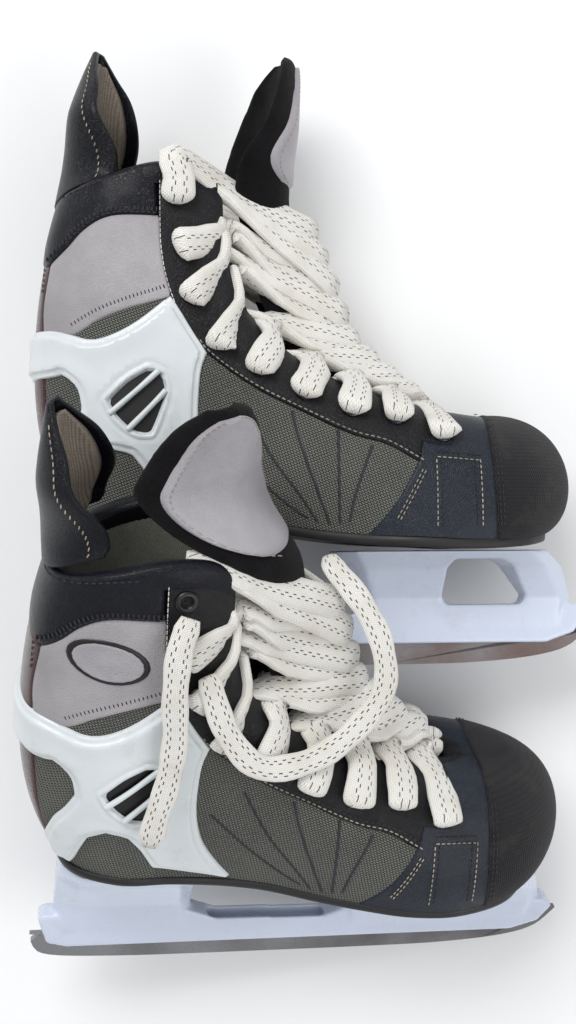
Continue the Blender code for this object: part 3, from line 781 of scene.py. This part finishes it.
def rims(side):
    """The rolled edges: the padded collar's and the throat's."""
    def inner(turns):
        away = np.minimum(np.abs(turns), np.abs(turns - ROUND))
        return -2.5 - 3.7 * np.clip((4.9 - away) / 0.8, 0, 1)
    edge_roll("collar_rim", side, -4.05, 4.05, 2.7, inner, "collar")
    edge_roll("throat_rim", side, 3.95, 20.05, 2.15, inner, "facing")


def liner(side):
    """The lining's visible face, inside the cuff."""
    turns = np.linspace(-6.4, 6.4, 115)
    rings = [skin(turns, r, np.full(len(turns), -6.15)) for r in np.linspace(0.975, 0.3, 24)]
    uv = np.concatenate([np.stack([around(turns % ROUND), p[:, 2]], 1) for p in rings])
    faces = grid_faces(len(rings), len(turns))
    obj = put("padding", np.concatenate(rings), faces, side, PAINT["liner"], uv=uv)
    stands_for(obj, f"lining_{side}")


SOLE_PROFILE = ((-0.2, -1.5), (-0.2, 0.4), (-0.7, 1.0), (-2.4, 1.2), (-3.9, 0.8), (-4.6, 0.0), (-4.6, -2.5))


def sole(side):
    """The outsole, with a rounded edge, and the paint of the pieces inside the boot."""
    turns = np.linspace(0, ROUND, ROUND * 8, endpoint=False)
    base = form(turns, 0.0)
    rings = []
    for drop, out in SOLE_PROFILE:
        ring = skin(turns, 0.03, np.full(len(turns), out))
        ring[:, 2] = base[:, 2] + drop
        rings.append(ring)
    n = len(turns)
    points = np.concatenate(rings)
    faces = grid_faces(len(rings), n, closed=True)
    for start in (0, (len(rings) - 1) * n):
        faces.append((start, start + 1, start + n - 1))
        faces += [(start + i, start + i + 1, start + n - i - 1, start + n - i) for i in range(1, n // 2 - 1)]
        faces.append((start + n // 2 - 1, start + n // 2, start + n // 2 + 1))
    stands_for(put("sole_plate", points, faces, side, PAINT["sole"]), f"outsole_{side}")
    for node, paint in (("insole_board", "board"), ("footbed", "liner")):
        mesh = frame["nodes"][f"{node}_{side}"].data
        mesh.materials.clear()
        mesh.materials.append(PAINT[paint])


# ---------------------------------------------------------------- stitching and eyelets

BEAD = np.array([(-0.5, 0, 0)] + [(x, math.cos(a) * 0.5, math.sin(a) * 0.5) for x in (-0.3, 0.3)
                for a in np.arange(5) * 2 * math.pi / 5] + [(0.5, 0, 0)])
BEAD_FACES = ([(0, 1 + (i + 1) % 5, 1 + i) for i in range(5)]
              + [(1 + i, 1 + (i + 1) % 5, 6 + (i + 1) % 5, 6 + i) for i in range(5)]
              + [(11, 6 + i, 6 + (i + 1) % 5) for i in range(5)])


def resample(path, pitch):
    """Places at an even pitch along a path, with the direction at each."""
    at = run_along(path)
    where = np.arange(pitch / 2, at[-1], pitch)
    behind, places, ahead = (np.stack([np.interp(where + by, at, column) for column in path.T], 1)
                             for by in (-0.2, 0.0, 0.2))
    return places, unit(ahead - behind)


def shifted(path, by):
    """A side-view path moved to its left by a distance."""
    ahead = np.gradient(path, axis=0)
    normal = unit(np.stack([-ahead[:, 1], ahead[:, 0]], 1))
    return path + normal * by


def on_skin(path, half, lift):
    """Points over a side-view path at a lift off the form, with the way out at each."""
    turn, rise = locate(path, half)
    return skin(turn, rise, np.full(len(turn), lift)), outward(turn, rise)


class Stitches:
    """Gathers rows of thread beads for one skate, one object for each thread."""

    def __init__(self):
        self.threads = {}

    def bead(self, thread, places, along, normal, length, width):
        side = unit(np.cross(normal, along))
        normal = np.cross(along, side)
        beads = self.threads.setdefault(thread, Gathered())
        for place, *axes in zip(places, along * length, side * width, normal * width * 0.75):
            beads.add(place + BEAD @ np.stack(axes), BEAD_FACES)

    def row(self, thread, path, halves, lift, shift=0.0, pitch=3.0, length=2.3, width=0.7, across=False):
        """A row along a side-view path; across turns each stitch square to the row."""
        path = shifted(smooth(path, closed=False), shift)
        places, _ = resample(path, pitch)
        for half in halves:
            points, normal = on_skin(places, half, lift)
            ahead, _ = on_skin(places + 0.3 * np.gradient(places, axis=0), half, lift)
            along = unit(ahead - points)
            if across:
                along = unit(np.cross(normal, along))
            self.bead(thread, points, along, normal, length, width)

    def make(self, side):
        for thread, beads in self.threads.items():
            obj = beads.put(f"stitches_{thread}", side, PAINT["thread_" + thread])


def seams(side):
    """All the stitching of the boot."""
    both = (1, -1)
    rows = Stitches()
    collar_low = COLLAR[1:6]
    rows.row("dark", collar_low, both, 2.6, shift=3.0, pitch=1.9, length=2.4, width=0.75, across=True)
    rows.row("dark", ((14, 208), (24, 210), (36, 213.5), (48, 215.5)), both, 2.9, pitch=2.6, length=2.0)
    back = EYESTAY[1:7]
    rows.row("white", ((57, 216), *back[:4]), both, 2.3, shift=0.7, pitch=2.4, length=2.3, width=0.45)
    front = EYESTAY[5:12]
    for shift, thread in ((1.6, "tan"), (3.2, "dark")):
        rows.row(thread, front, both, 2.2, shift=shift, pitch=2.6, length=1.9, width=0.6)
    welt_row = ((20, 149), (31, 155), (44, 160), (60, 165))
    rows.row("dark", welt_row, both, 1.75, shift=1.6, pitch=1.7, length=2.0, width=0.6, across=True)
    rows.row("dark", ANKLE[-5:], both, 2.3, shift=-1.6, pitch=2.4, length=1.9)
    for shift in (-1.2, -2.6):
        rows.row("tan", ((158, 66), (169, 87)), both, 1.9, shift=shift, pitch=2.4, length=1.8, width=0.55)
    for x in (176, 178.2, 193.2, 195.4):
        thread = "tan" if x in (176, 195.4) else "dark"
        rows.row(thread, ((x, 62), (x, 90)), both, 1.9, pitch=2.4, length=1.9, width=0.6)
    rows.row("tan", ((176, 91.5), (195.4, 90)), both, 1.9, pitch=2.4, length=1.9, width=0.6)
    rows.row("dark", ((176, 94), (196, 92.4)), both, 1.9, pitch=2.2, length=1.8, width=0.6)
    for shift in (1.4, 3.0):
        edge = ((202, 62), (201, 90), (199.6, 112))
        rows.row("dark", edge, both, 2.6, shift=-shift, pitch=2.6, length=2.0, width=0.6)
    rows.row("dark", ((8.5, 166), (9.5, 178)), both, 1.9, shift=1.5, pitch=2.4, length=1.9)
    rows.make(side)


def welts(side):
    """The dark cords that fan over the side weave."""
    fans = (((122, 66), (112, 73), (96, 87), (79, 105)), ((126, 64), (118, 76), (105, 94), (93, 117)),
            ((131, 63), (126, 76), (118, 98), (114, 113)), ((135, 63), (134.5, 80), (134, 104)),
            ((139, 64), (142, 78), (149, 98)))
    cords = Gathered()
    for half in (1, -1):
        for fan in fans:
            places, _ = resample(smooth(fan, closed=False, step=1.5), 1.6)
            middle, normal = on_skin(places, half, 1.15)
            along = unit(np.gradient(middle, axis=0))
            across = unit(np.cross(normal, along))
            ring = [middle + across * math.cos(a) * 0.62 + normal * math.sin(a) * 0.5
                    for a in np.arange(6) * math.pi / 3]
            cords.add(np.stack(ring, 1).reshape(-1, 3), grid_faces(len(middle), 6, closed=True))
    cords.put("side_welts", side, PAINT["thread_dark"])


def eyelets(side):
    """Rolled black eyelets, each with its hole."""
    rolled = Gathered()
    profile = ((0.2, -0.5), (2.3, -0.6), (2.4, 0.6), (3.0, 1.3), (3.9, 1.3), (4.6, 0.7), (4.8, 0.0),
               (4.6, -0.4))
    steps = 24
    angles = np.arange(steps)[:, None] * 2 * math.pi / steps
    for half in (1, -1):
        turn, rise = locate(EYELET_SPOTS, half)
        centre, normal = skin(turn, rise, np.full(len(turn), 2.2)), outward(turn, rise)
        for c, n in zip(centre, normal):
            u = unit(np.cross(n, (0.3, 0.1, 1.0)))
            spokes = u * np.cos(angles) + np.cross(n, u) * np.sin(angles)
            points = np.concatenate([c + spokes * r + n * h for r, h in profile])
            rolled.add(points, grid_faces(len(profile), steps, closed=True))
    rolled.put("eyelets", side, PAINT["black"])


# ---------------------------------------------------------------- tongue, tendon guard

def rows_at(table, t):
    """Rows of a table at fractional places along it, on a smooth curve."""
    table = np.array(table, float)
    padded = np.concatenate([[2 * table[0] - table[1]], table, [2 * table[-1] - table[-2]]])
    t = np.clip(t, 0, len(table) - 1 - 1e-6)
    i = np.floor(t).astype(int)
    return spline(padded[i], padded[i + 1], padded[i + 2], padded[i + 3], (t - i)[:, None])


def tongue_point(row, angle, lift):
    """A point on the tongue's front face, its angle running from the middle to the edges."""
    x, z, half, curl, lean = row
    out = np.array([math.cos(math.radians(lean)), 0, math.sin(math.radians(lean))])
    normal = unit(np.array([curl * math.sin(angle), half * math.cos(angle)]))
    across = half * math.sin(angle) + normal[0] * lift
    depth = curl * (math.cos(angle) - 1) + normal[1] * lift
    return np.array([x, across, z]) + out * depth


def turned(points, how):
    """Points turned about the vertical, more the higher they are, as how says."""
    points = np.asarray(points, float)
    about, low, high, angle, back = how
    grown = np.clip((points[:, 2] - low) / (high - low), 0, 1)
    grown = grown * grown * (3 - 2 * grown)
    c, s = np.cos(np.radians(angle * grown)), np.sin(np.radians(angle * grown))
    x, y = points[:, 0] - about, points[:, 1]
    return np.stack([about + x * c - y * s - back * grown, x * s + y * c, points[:, 2]], 1)


def tongue(side):
    """The tongue's felt pad."""
    steps = 15
    share = np.linspace(-1, 1, 2 * steps + 1)
    t = np.concatenate([np.linspace(0, 9, 64), np.linspace(9, 11, 26)[1:]])
    rings = []
    for k, row in enumerate(rows_at(TONGUE, t)):
        past_top = max(0.0, t[k] - 10) / 1.02
        thick = TONGUE_THICK / 2 * math.sqrt(max(0.02, 1 - past_top**2))
        wall = thick * np.sqrt(1 - np.abs(share) ** 5 * 0.97)
        angles = share * math.radians(84)
        front = [tongue_point(row, a, -TONGUE_THICK / 2 + w) for a, w in zip(angles, wall)]
        back = [tongue_point(row, a, -TONGUE_THICK / 2 - w) for a, w in zip(angles[::-1], wall[::-1])]
        rings.append(front + back)
    points, faces = capped(rings)
    lumps = np.array([noise.noise(Vector(p) * 0.11) * 0.45 + noise.noise(Vector(p) * 0.42) * 0.25
                      for p in points])
    points = turned(points + np.stack([lumps, lumps * 0.5, lumps * 0.3], 1), TONGUE_TURN[side])
    obj = put("tongue_pad", points, faces, side, PAINT["felt"], weld=True, body=ROOT)
    obj.parent = None
    if "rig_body" in obj:
        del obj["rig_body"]
    start, end = (to_row([(114, 0, z)], side)[0].tolist() for z in (197, 211))
    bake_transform(obj)
    stands_for(obj, f"tongue_upper_{side}", f"tongue_lower_{side}")


def tongue_badge(side):
    """The grey vinyl face, wide at its foot and narrow at its tip, with its stitched edge."""
    rows, columns = 34, 33
    t = np.linspace(6.75, 10.45, rows)
    grid, stitches = [], []
    for k, row in enumerate(rows_at(TONGUE, t)):
        s = k / (rows - 1)
        spread = math.radians(66 - 30 * s) * (1 - (2 * abs(s - 0.5)) ** 7 * 0.5)
        line = []
        for share in np.linspace(-1, 1, columns):
            border = min(1 - abs(share), min(s, 1 - s) * 2.4) * 18
            line.append(tongue_point(row, share * spread, float(dome(np.array(border), 1.9, 2.0, -0.3))))
        grid += line
        stitches += [tongue_point(row, sign * spread * 0.86, 1.95) for sign in (1, -1)]
    uv = [((c - columns / 2) * 1.2, r * 1.6) for r in range(rows) for c in range(columns)]
    grid = turned(grid, TONGUE_TURN[side])
    faces = grid_faces(rows, columns)
    obj = put("tongue_vinyl", grid, faces, side, PAINT["vinyl"], uv=uv, body=f"tongue_{side}")
    stands_for(obj, f"tongue_face_{side}")
    thread = Stitches()
    for edge in (0, 1):
        path = np.array(stitches[edge::2])
        places, along = resample(path, 2.6)
        middle = rows_at(TONGUE, np.linspace(6.75, 10.45, len(places)))
        normal = unit(places - np.stack([middle[:, 0] - 20, 0 * middle[:, 0], middle[:, 1]], 1))
        thread.bead("tan", places, along, normal, 1.9, 0.6)
    beads = thread.threads["tan"]
    points = turned(np.concatenate(beads.points), TONGUE_TURN[side])
    obj = put("tongue_stitches", points, beads.faces, side, PAINT["thread_tan"], body=f"tongue_{side}")


def flexed(points, side):
    """Points of the tendon guard, turned and bent back about its hinge as it rests."""
    points = turned(points, GUARD_TURN)
    angle = -math.radians(GUARD_FLEX[side])
    x, z = points[:, 0] - GUARD_HINGE[0], points[:, 2] - GUARD_HINGE[2]
    return np.stack([GUARD_HINGE[0] + x * math.cos(angle) + z * math.sin(angle), points[:, 1],
                     GUARD_HINGE[2] - x * math.sin(angle) + z * math.cos(angle)], 1)


def guard(side):
    """The tendon guard: a leather flap with a rounded edge and a woven lining."""
    body = f"tendon_{side}"
    t = np.concatenate([np.linspace(0, 5, 36), np.linspace(5, 6, 12)[1:]])
    share = np.linspace(-1, 1, 33)

    def surface(rows, depth, narrow):
        """Rings across the guard at a depth from its back, over this share of its width."""
        rings = []
        for k, (z, back, reach, half) in enumerate(rows):
            angle = share * math.pi / 2 * narrow
            lift = 7 * np.sin(angle) ** 2 * max(0.0, 1 - t[k])
            rings.append(np.stack([back + reach * (1 - np.cos(angle)) + depth * np.cos(angle),
                                   (half - depth) * np.sin(angle), z + lift], 1))
        return rings

    rows = rows_at(GUARD, t)
    front, back, middle = surface(rows, 3.0, 1), surface(rows, 0.5 * share**8, 1), surface(rows, 1.5, 1.02)
    rings = [np.concatenate([m[:1], b, m[-1:], f[::-1]]) for f, b, m in zip(front, back, middle)]
    points, faces = capped(rings)
    obj = put("tendon_flap", flexed(points, side), faces, side, PAINT["collar"], body=body, weld=True)
    stands_for(obj, f"tendon_guard_{side}")
    lined = rows[t <= 5.4]
    cloth, pad = surface(lined, 3.9, 0.86), surface(lined, 6.2, 0.8)
    rings = [np.concatenate([c, p[::-1]]) for c, p in zip(cloth, pad)]
    points, faces = capped(rings)
    uv = np.stack([points[:, 1], points[:, 2]], 1)
    obj = put("tendon_lining", flexed(points, side), faces, side, PAINT["guard_liner"], uv=uv, body=body)
    stands_for(obj, f"guard_lining_{side}")
    thread = Stitches()
    for edge in (2, -3):
        path = np.array([r[edge] for r in surface(rows, -0.15, 0.93)])[3:-6]
        places, along = resample(path, 2.8)
        normal = unit(places * (0, 1, 0) + np.array([-8.0, 0, 0]))
        thread.bead("tan", flexed(places, side), along, normal, 2.1, 0.6)
    obj = thread.threads["tan"].put("tendon_stitches", side, PAINT["thread_tan"], body=body)


# ---------------------------------------------------------------- holder and runner

def solid(points, faces):
    """A closed mesh, for the modifiers."""
    mesh = bpy.data.meshes.new("solid")
    mesh.from_pydata((np.asarray(points, float) * MM).tolist(), [], [tuple(int(v) for v in f) for f in faces])
    edit = bmesh.new()
    edit.from_mesh(mesh)
    bmesh.ops.remove_doubles(edit, verts=edit.verts, dist=1e-6)
    bmesh.ops.recalc_face_normals(edit, faces=edit.faces)
    edit.to_mesh(mesh)
    edit.free()
    obj = bpy.data.objects.new("solid", mesh)
    bpy.context.scene.collection.objects.link(obj)
    return obj


def prism(outline, low, high):
    """A side-view outline, between two heights across the skate."""
    n = len(outline)
    points = [(x, y, z) for y in (low, high) for x, z in outline]
    faces = [tuple(range(n)), tuple(range(2 * n - 1, n - 1, -1))]
    faces += [(i, (i + 1) % n, (i + 1) % n + n, i + n) for i in range(n)]
    return solid(points, faces)


def tower(rings):
    """A post of the holder, its corners cut off, from rings of (z, back, front, half width, fall)."""
    shaped = []
    for z, back, front, half, fall in rings:
        c = min(half * 0.8, 9)
        corners = ((back, half - c), (back + c, half), (front - c, half), (front, half - c))
        ring = [*corners, *((x, -y) for x, y in reversed(corners))]
        shaped.append([(x, y, z - fall * (x - back) / (front - back)) for x, y in ring])
    return solid(*capped(shaped))


def settle(obj, kind, **settings):
    """Adds a modifier and applies it."""
    modifier = obj.modifiers.new(kind, kind)
    for key, value in settings.items():
        setattr(modifier, key, value)
    graph = bpy.context.evaluated_depsgraph_get()
    mesh = bpy.data.meshes.new_from_object(obj.evaluated_get(graph))
    obj.modifiers.clear()
    obj.data = mesh
    return obj


def holder(side):
    """The moulded blade holder, its corners softened as a moulding's are."""
    body = prism(RAIL, -5, 5)
    for piece in (tower(HEEL_TOWER), tower(TOE_TOWER)):
        settle(body, "BOOLEAN", operation="UNION", object=piece)
        bpy.data.objects.remove(piece)
    channel = ((86, 16.5), (143, 16.5), (134, 36), (86, 36))
    groove = ((-30, -20), (280, -20), (280, 23), (255, 23), (243, 16), (4, 16), (-5, 17), (-30, 17))
    for outline, half in ((TOE_WINDOW, 60), (channel, 3.2), (groove, 1.8)):
        cutter = prism(outline, -half, half)
        settle(body, "BOOLEAN", operation="DIFFERENCE", object=cutter)
        bpy.data.objects.remove(cutter)
    settle(body, "REMESH", mode="VOXEL", voxel_size=0.0009)
    settle(body, "SMOOTH", factor=0.5, iterations=7)
    mesh = body.data
    co = np.zeros(len(mesh.vertices) * 3)
    mesh.vertices.foreach_get("co", co)
    points = co.reshape(-1, 3) / MM
    faces = [tuple(p.vertices) for p in mesh.polygons]
    bpy.data.objects.remove(body)
    obj = put("holder", points, faces, side, PAINT["holder"])
    stands_for(obj, f"blade_holder_{side}")


def runner(side):
    """The steel blade."""
    outline = smooth(RUNNER, step=3, sharp=50)
    blade = prism(outline, -1.5, 1.5)
    settle(blade, "BEVEL", width=0.3 * MM, segments=2, limit_method="ANGLE", angle_limit=math.radians(50))
    mesh = blade.data
    points = np.array([v.co for v in mesh.vertices]) / MM
    faces = [tuple(p.vertices) for p in mesh.polygons]
    bpy.data.objects.remove(blade)
    obj = put("steel", points, faces, side, PAINT[f"steel_{side}"])
    for polygon in obj.data.polygons:
        polygon.use_smooth = False
    stands_for(obj, f"runner_{side}")


# ---------------------------------------------------------------- laces

def ribbon(path, normals, width=11.0, thick=2.3, steps=4, ends=(0.55, 0.55), seed=0.0):
    """A puffed flat lace along a path, with its face towards the normals: points, faces, UVs and its line."""
    path, normals = np.asarray(path, float), unit(np.asarray(normals, float))
    t = np.linspace(0, len(path) - 1, (len(path) - 1) * steps + 1)
    line = rows_at(path, t)
    facing = unit(rows_at(normals, t))
    along = unit(np.gradient(line, axis=0))
    side = unit(np.cross(facing, along))
    facing = np.cross(along, side)
    run = run_along(line)
    wide = np.interp(run, (0, 4.5, run[-1] - 4.5, run[-1]), (ends[0], 1, 1, ends[1])) * width / 2
    wide = wide * (1 + 0.05 * np.sin(run * 0.31 + seed))
    count = 14
    rings, uvs = [], []
    for k in range(len(line)):
        ring, uv = [], []
        for a in np.arange(count) * 2 * math.pi / count:
            across, up = math.cos(a), math.sin(a)
            flat = math.copysign(abs(across) ** 0.75, across)
            ring.append(line[k] + side[k] * flat * wide[k]
                        + facing[k] * (up * thick / 2 * (1 + 0.25 * (1 - flat * flat))))
            uv.append((flat * width / 2, run[k] + seed * 3))
        rings.append(ring)
        uvs += uv
    points, faces = capped(rings)
    return points, faces, uvs, line


def crossings(side):
    """The laces between the eyelets: out of each one, over the edge and the tongue, under the far edge."""
    laces, uvs = Gathered(), []
    rng = np.random.default_rng(4 if side == "left" else 9)
    loose = side == "right"
    for i in range(9):
        for half in (1, -1):
            if loose and i == 0:
                continue
            turn, rise = (float(v[0]) for v in locate([EYELET_SPOTS[i]], half))
            spot, out = skin(turn, rise, np.array(2.4)), outward(turn, rise)
            turn_to = ROUND - turn
            last = i == 8
            if not last:
                nxt = float(locate([EYELET_SPOTS[i + 1]], -half)[0][0])
                turn_to = turn_to + (nxt - turn_to) * 0.75
            edges = turn + np.linspace(-1.6, 1.6, 65)
            near = np.linalg.norm(form(edges, np.ones(65)) - skin(turn, rise, np.array(0.0)), axis=1)
            edge = float(edges[np.argmin(near)])
            top, up, top_out = form(edge, 1.0), upward(edge), outward(edge, 1.0)
            toward = unit(top - spot)
            far_top, far_up = form(turn_to, 1.0), upward(turn_to)
            far_out = outward(turn_to, 1.0)
            middle = (top + far_top) / 2
            row = rows_at(TONGUE, np.array([6.0 * (1 - (i + (0.0 if last else 0.35)) / 8.2)]))[0]
            crest = tongue_point(row, 0.0, 6.2 + (2.6 if half > 0 else 0.0) + (1.5 if loose else 0))
            lean = unit(crest - (middle - up * 18))
            path = [spot + out * 0.2 - toward, spot + out * 4.2 - toward * 0.6,
                    (spot + top) / 2 + top_out * 6.4, top + top_out * 5.4 + up * 4.2,
                    top * 0.62 + crest * 0.38 + lean * (2.6 + rng.uniform(-.5, .8)), crest,
                    far_top * 0.62 + crest * 0.38 + lean * 1.2, far_top - far_out * 5.0 + far_up * 0.5,
                    far_top - far_out * 7.5 - far_up * 6.0]
            faces_to = [-toward, unit(out - toward), top_out, unit(top_out + up * 0.6),
                        unit(top_out * 0.3 + lean), lean, lean, unit(far_up + far_out * 0.4),
                        unit(far_out + far_up * 0.2)]
            if last:
                path, faces_to = path[:6], faces_to[:6]
            ends = (0.7, 0.9 if last else 0.5)
            points, faces, uv, _ = ribbon(path, faces_to, width=14.6, thick=4.8, ends=ends,
                                          seed=rng.uniform(0, 6))
            laces.add(points, faces)
            uvs += uv
    stands_for(laces.put("lace_crossings", side, PAINT["lace"], uv=uvs), f"lacing_{side}")


LOOP = ((74, -41, 176), (83, -45, 152), (97, -46, 136), (118, -40, 134), (137, -30, 140), (151, -22, 156),
        (150, -16, 174), (143, -11, 188), (136, -7, 197), (130, -3, 203), (128, 4, 206))
TAIL = ((66, -42, 203), (62, -46, 190), (61, -47.5, 170), (62, -47, 150), (60, -47, 130), (56, -47, 112),
        (54, -46, 98))


def free_laces(side="right"):
    for name, path, faces_to, far_end, node in (
        ("lace_bight", LOOP, (0.1, -0.8, 0.5), "object", "lace_loop"),
        ("lace_end", TAIL, (-0.1, -1.0, 0.15), "bare", "lace_tail"),
    ):
        normals = np.tile(np.array(faces_to, float), (len(path), 1))
        points, faces, uvs, line = ribbon(path, normals, width=10.5, thick=2.4, steps=6, ends=(0.7, 0.6),
                                          seed=2.0)
        obj = put(name, points, faces, side, PAINT["lace"], uv=uvs)
        stands_for(obj, f"{node}_{side}")
        route = to_row(line, side)


# ---------------------------------------------------------------- camera, light, floor

def camera():
    data = bpy.data.cameras.new("photo_camera")
    data.sensor_fit, data.sensor_height, data.lens = "VERTICAL", 36, 53.9
    obj = bpy.data.objects.new("photo_camera", data)
    obj.location = (-0.0109, -0.0006, 0.75)
    bpy.context.scene.collection.objects.link(obj)
    bpy.context.scene.camera = obj


def lamp(name, place, size, power, colour=(1, 1, 1)):
    data = bpy.data.lights.new(name, "AREA")
    data.shape, data.size, data.size_y, data.energy, data.color = "RECTANGLE", *size, power, colour
    obj = bpy.data.objects.new(name, data)
    obj.location = place
    obj.rotation_euler = (-Vector(place)).to_track_quat("-Z", "Y").to_euler()
    bpy.context.scene.collection.objects.link(obj)


def studio():
    bpy.context.scene.view_settings.view_transform = "Standard"
    world = bpy.data.worlds.new("studio")
    world.use_nodes = True
    shade = world.node_tree.nodes["Background"]
    shade.inputs[0].default_value = (0.96, 0.98, 1.0, 1)
    shade.inputs[1].default_value = 0.62
    bpy.context.scene.world = world
    lamp("key", (-0.5, 0.9, 1.3), (1.0, 0.7), 16)
    lamp("fill", (0.9, -0.7, 1.2), (1.2, 1.0), 8)
    mesh = bpy.data.meshes.new("floor")
    mesh.from_pydata([(-4, -4, 0), (4, -4, 0), (4, 4, 0), (-4, 4, 0)], [], [(0, 1, 2, 3)])
    n = Nodes("floor_paint", 0.9, specular=0.1)
    n.colour(n.blend(n.noise(6, 3), (0.86, 0.86, 0.86), (0.9, 0.9, 0.9)))
    mesh.materials.append(n.material)
    floor = bpy.data.objects.new("floor", mesh)
    bpy.context.scene.collection.objects.link(floor)


def main():
    camera()
    free_laces()
    for side in SIDES:
        shell(side)
        skins(side)
        support(side)
        badge(side)
        rims(side)
        liner(side)
        sole(side)
        seams(side)
        welts(side)
        eyelets(side)
        tongue(side)
        tongue_badge(side)
        guard(side)
        holder(side)
        runner(side)
        crossings(side)
    studio()


main()
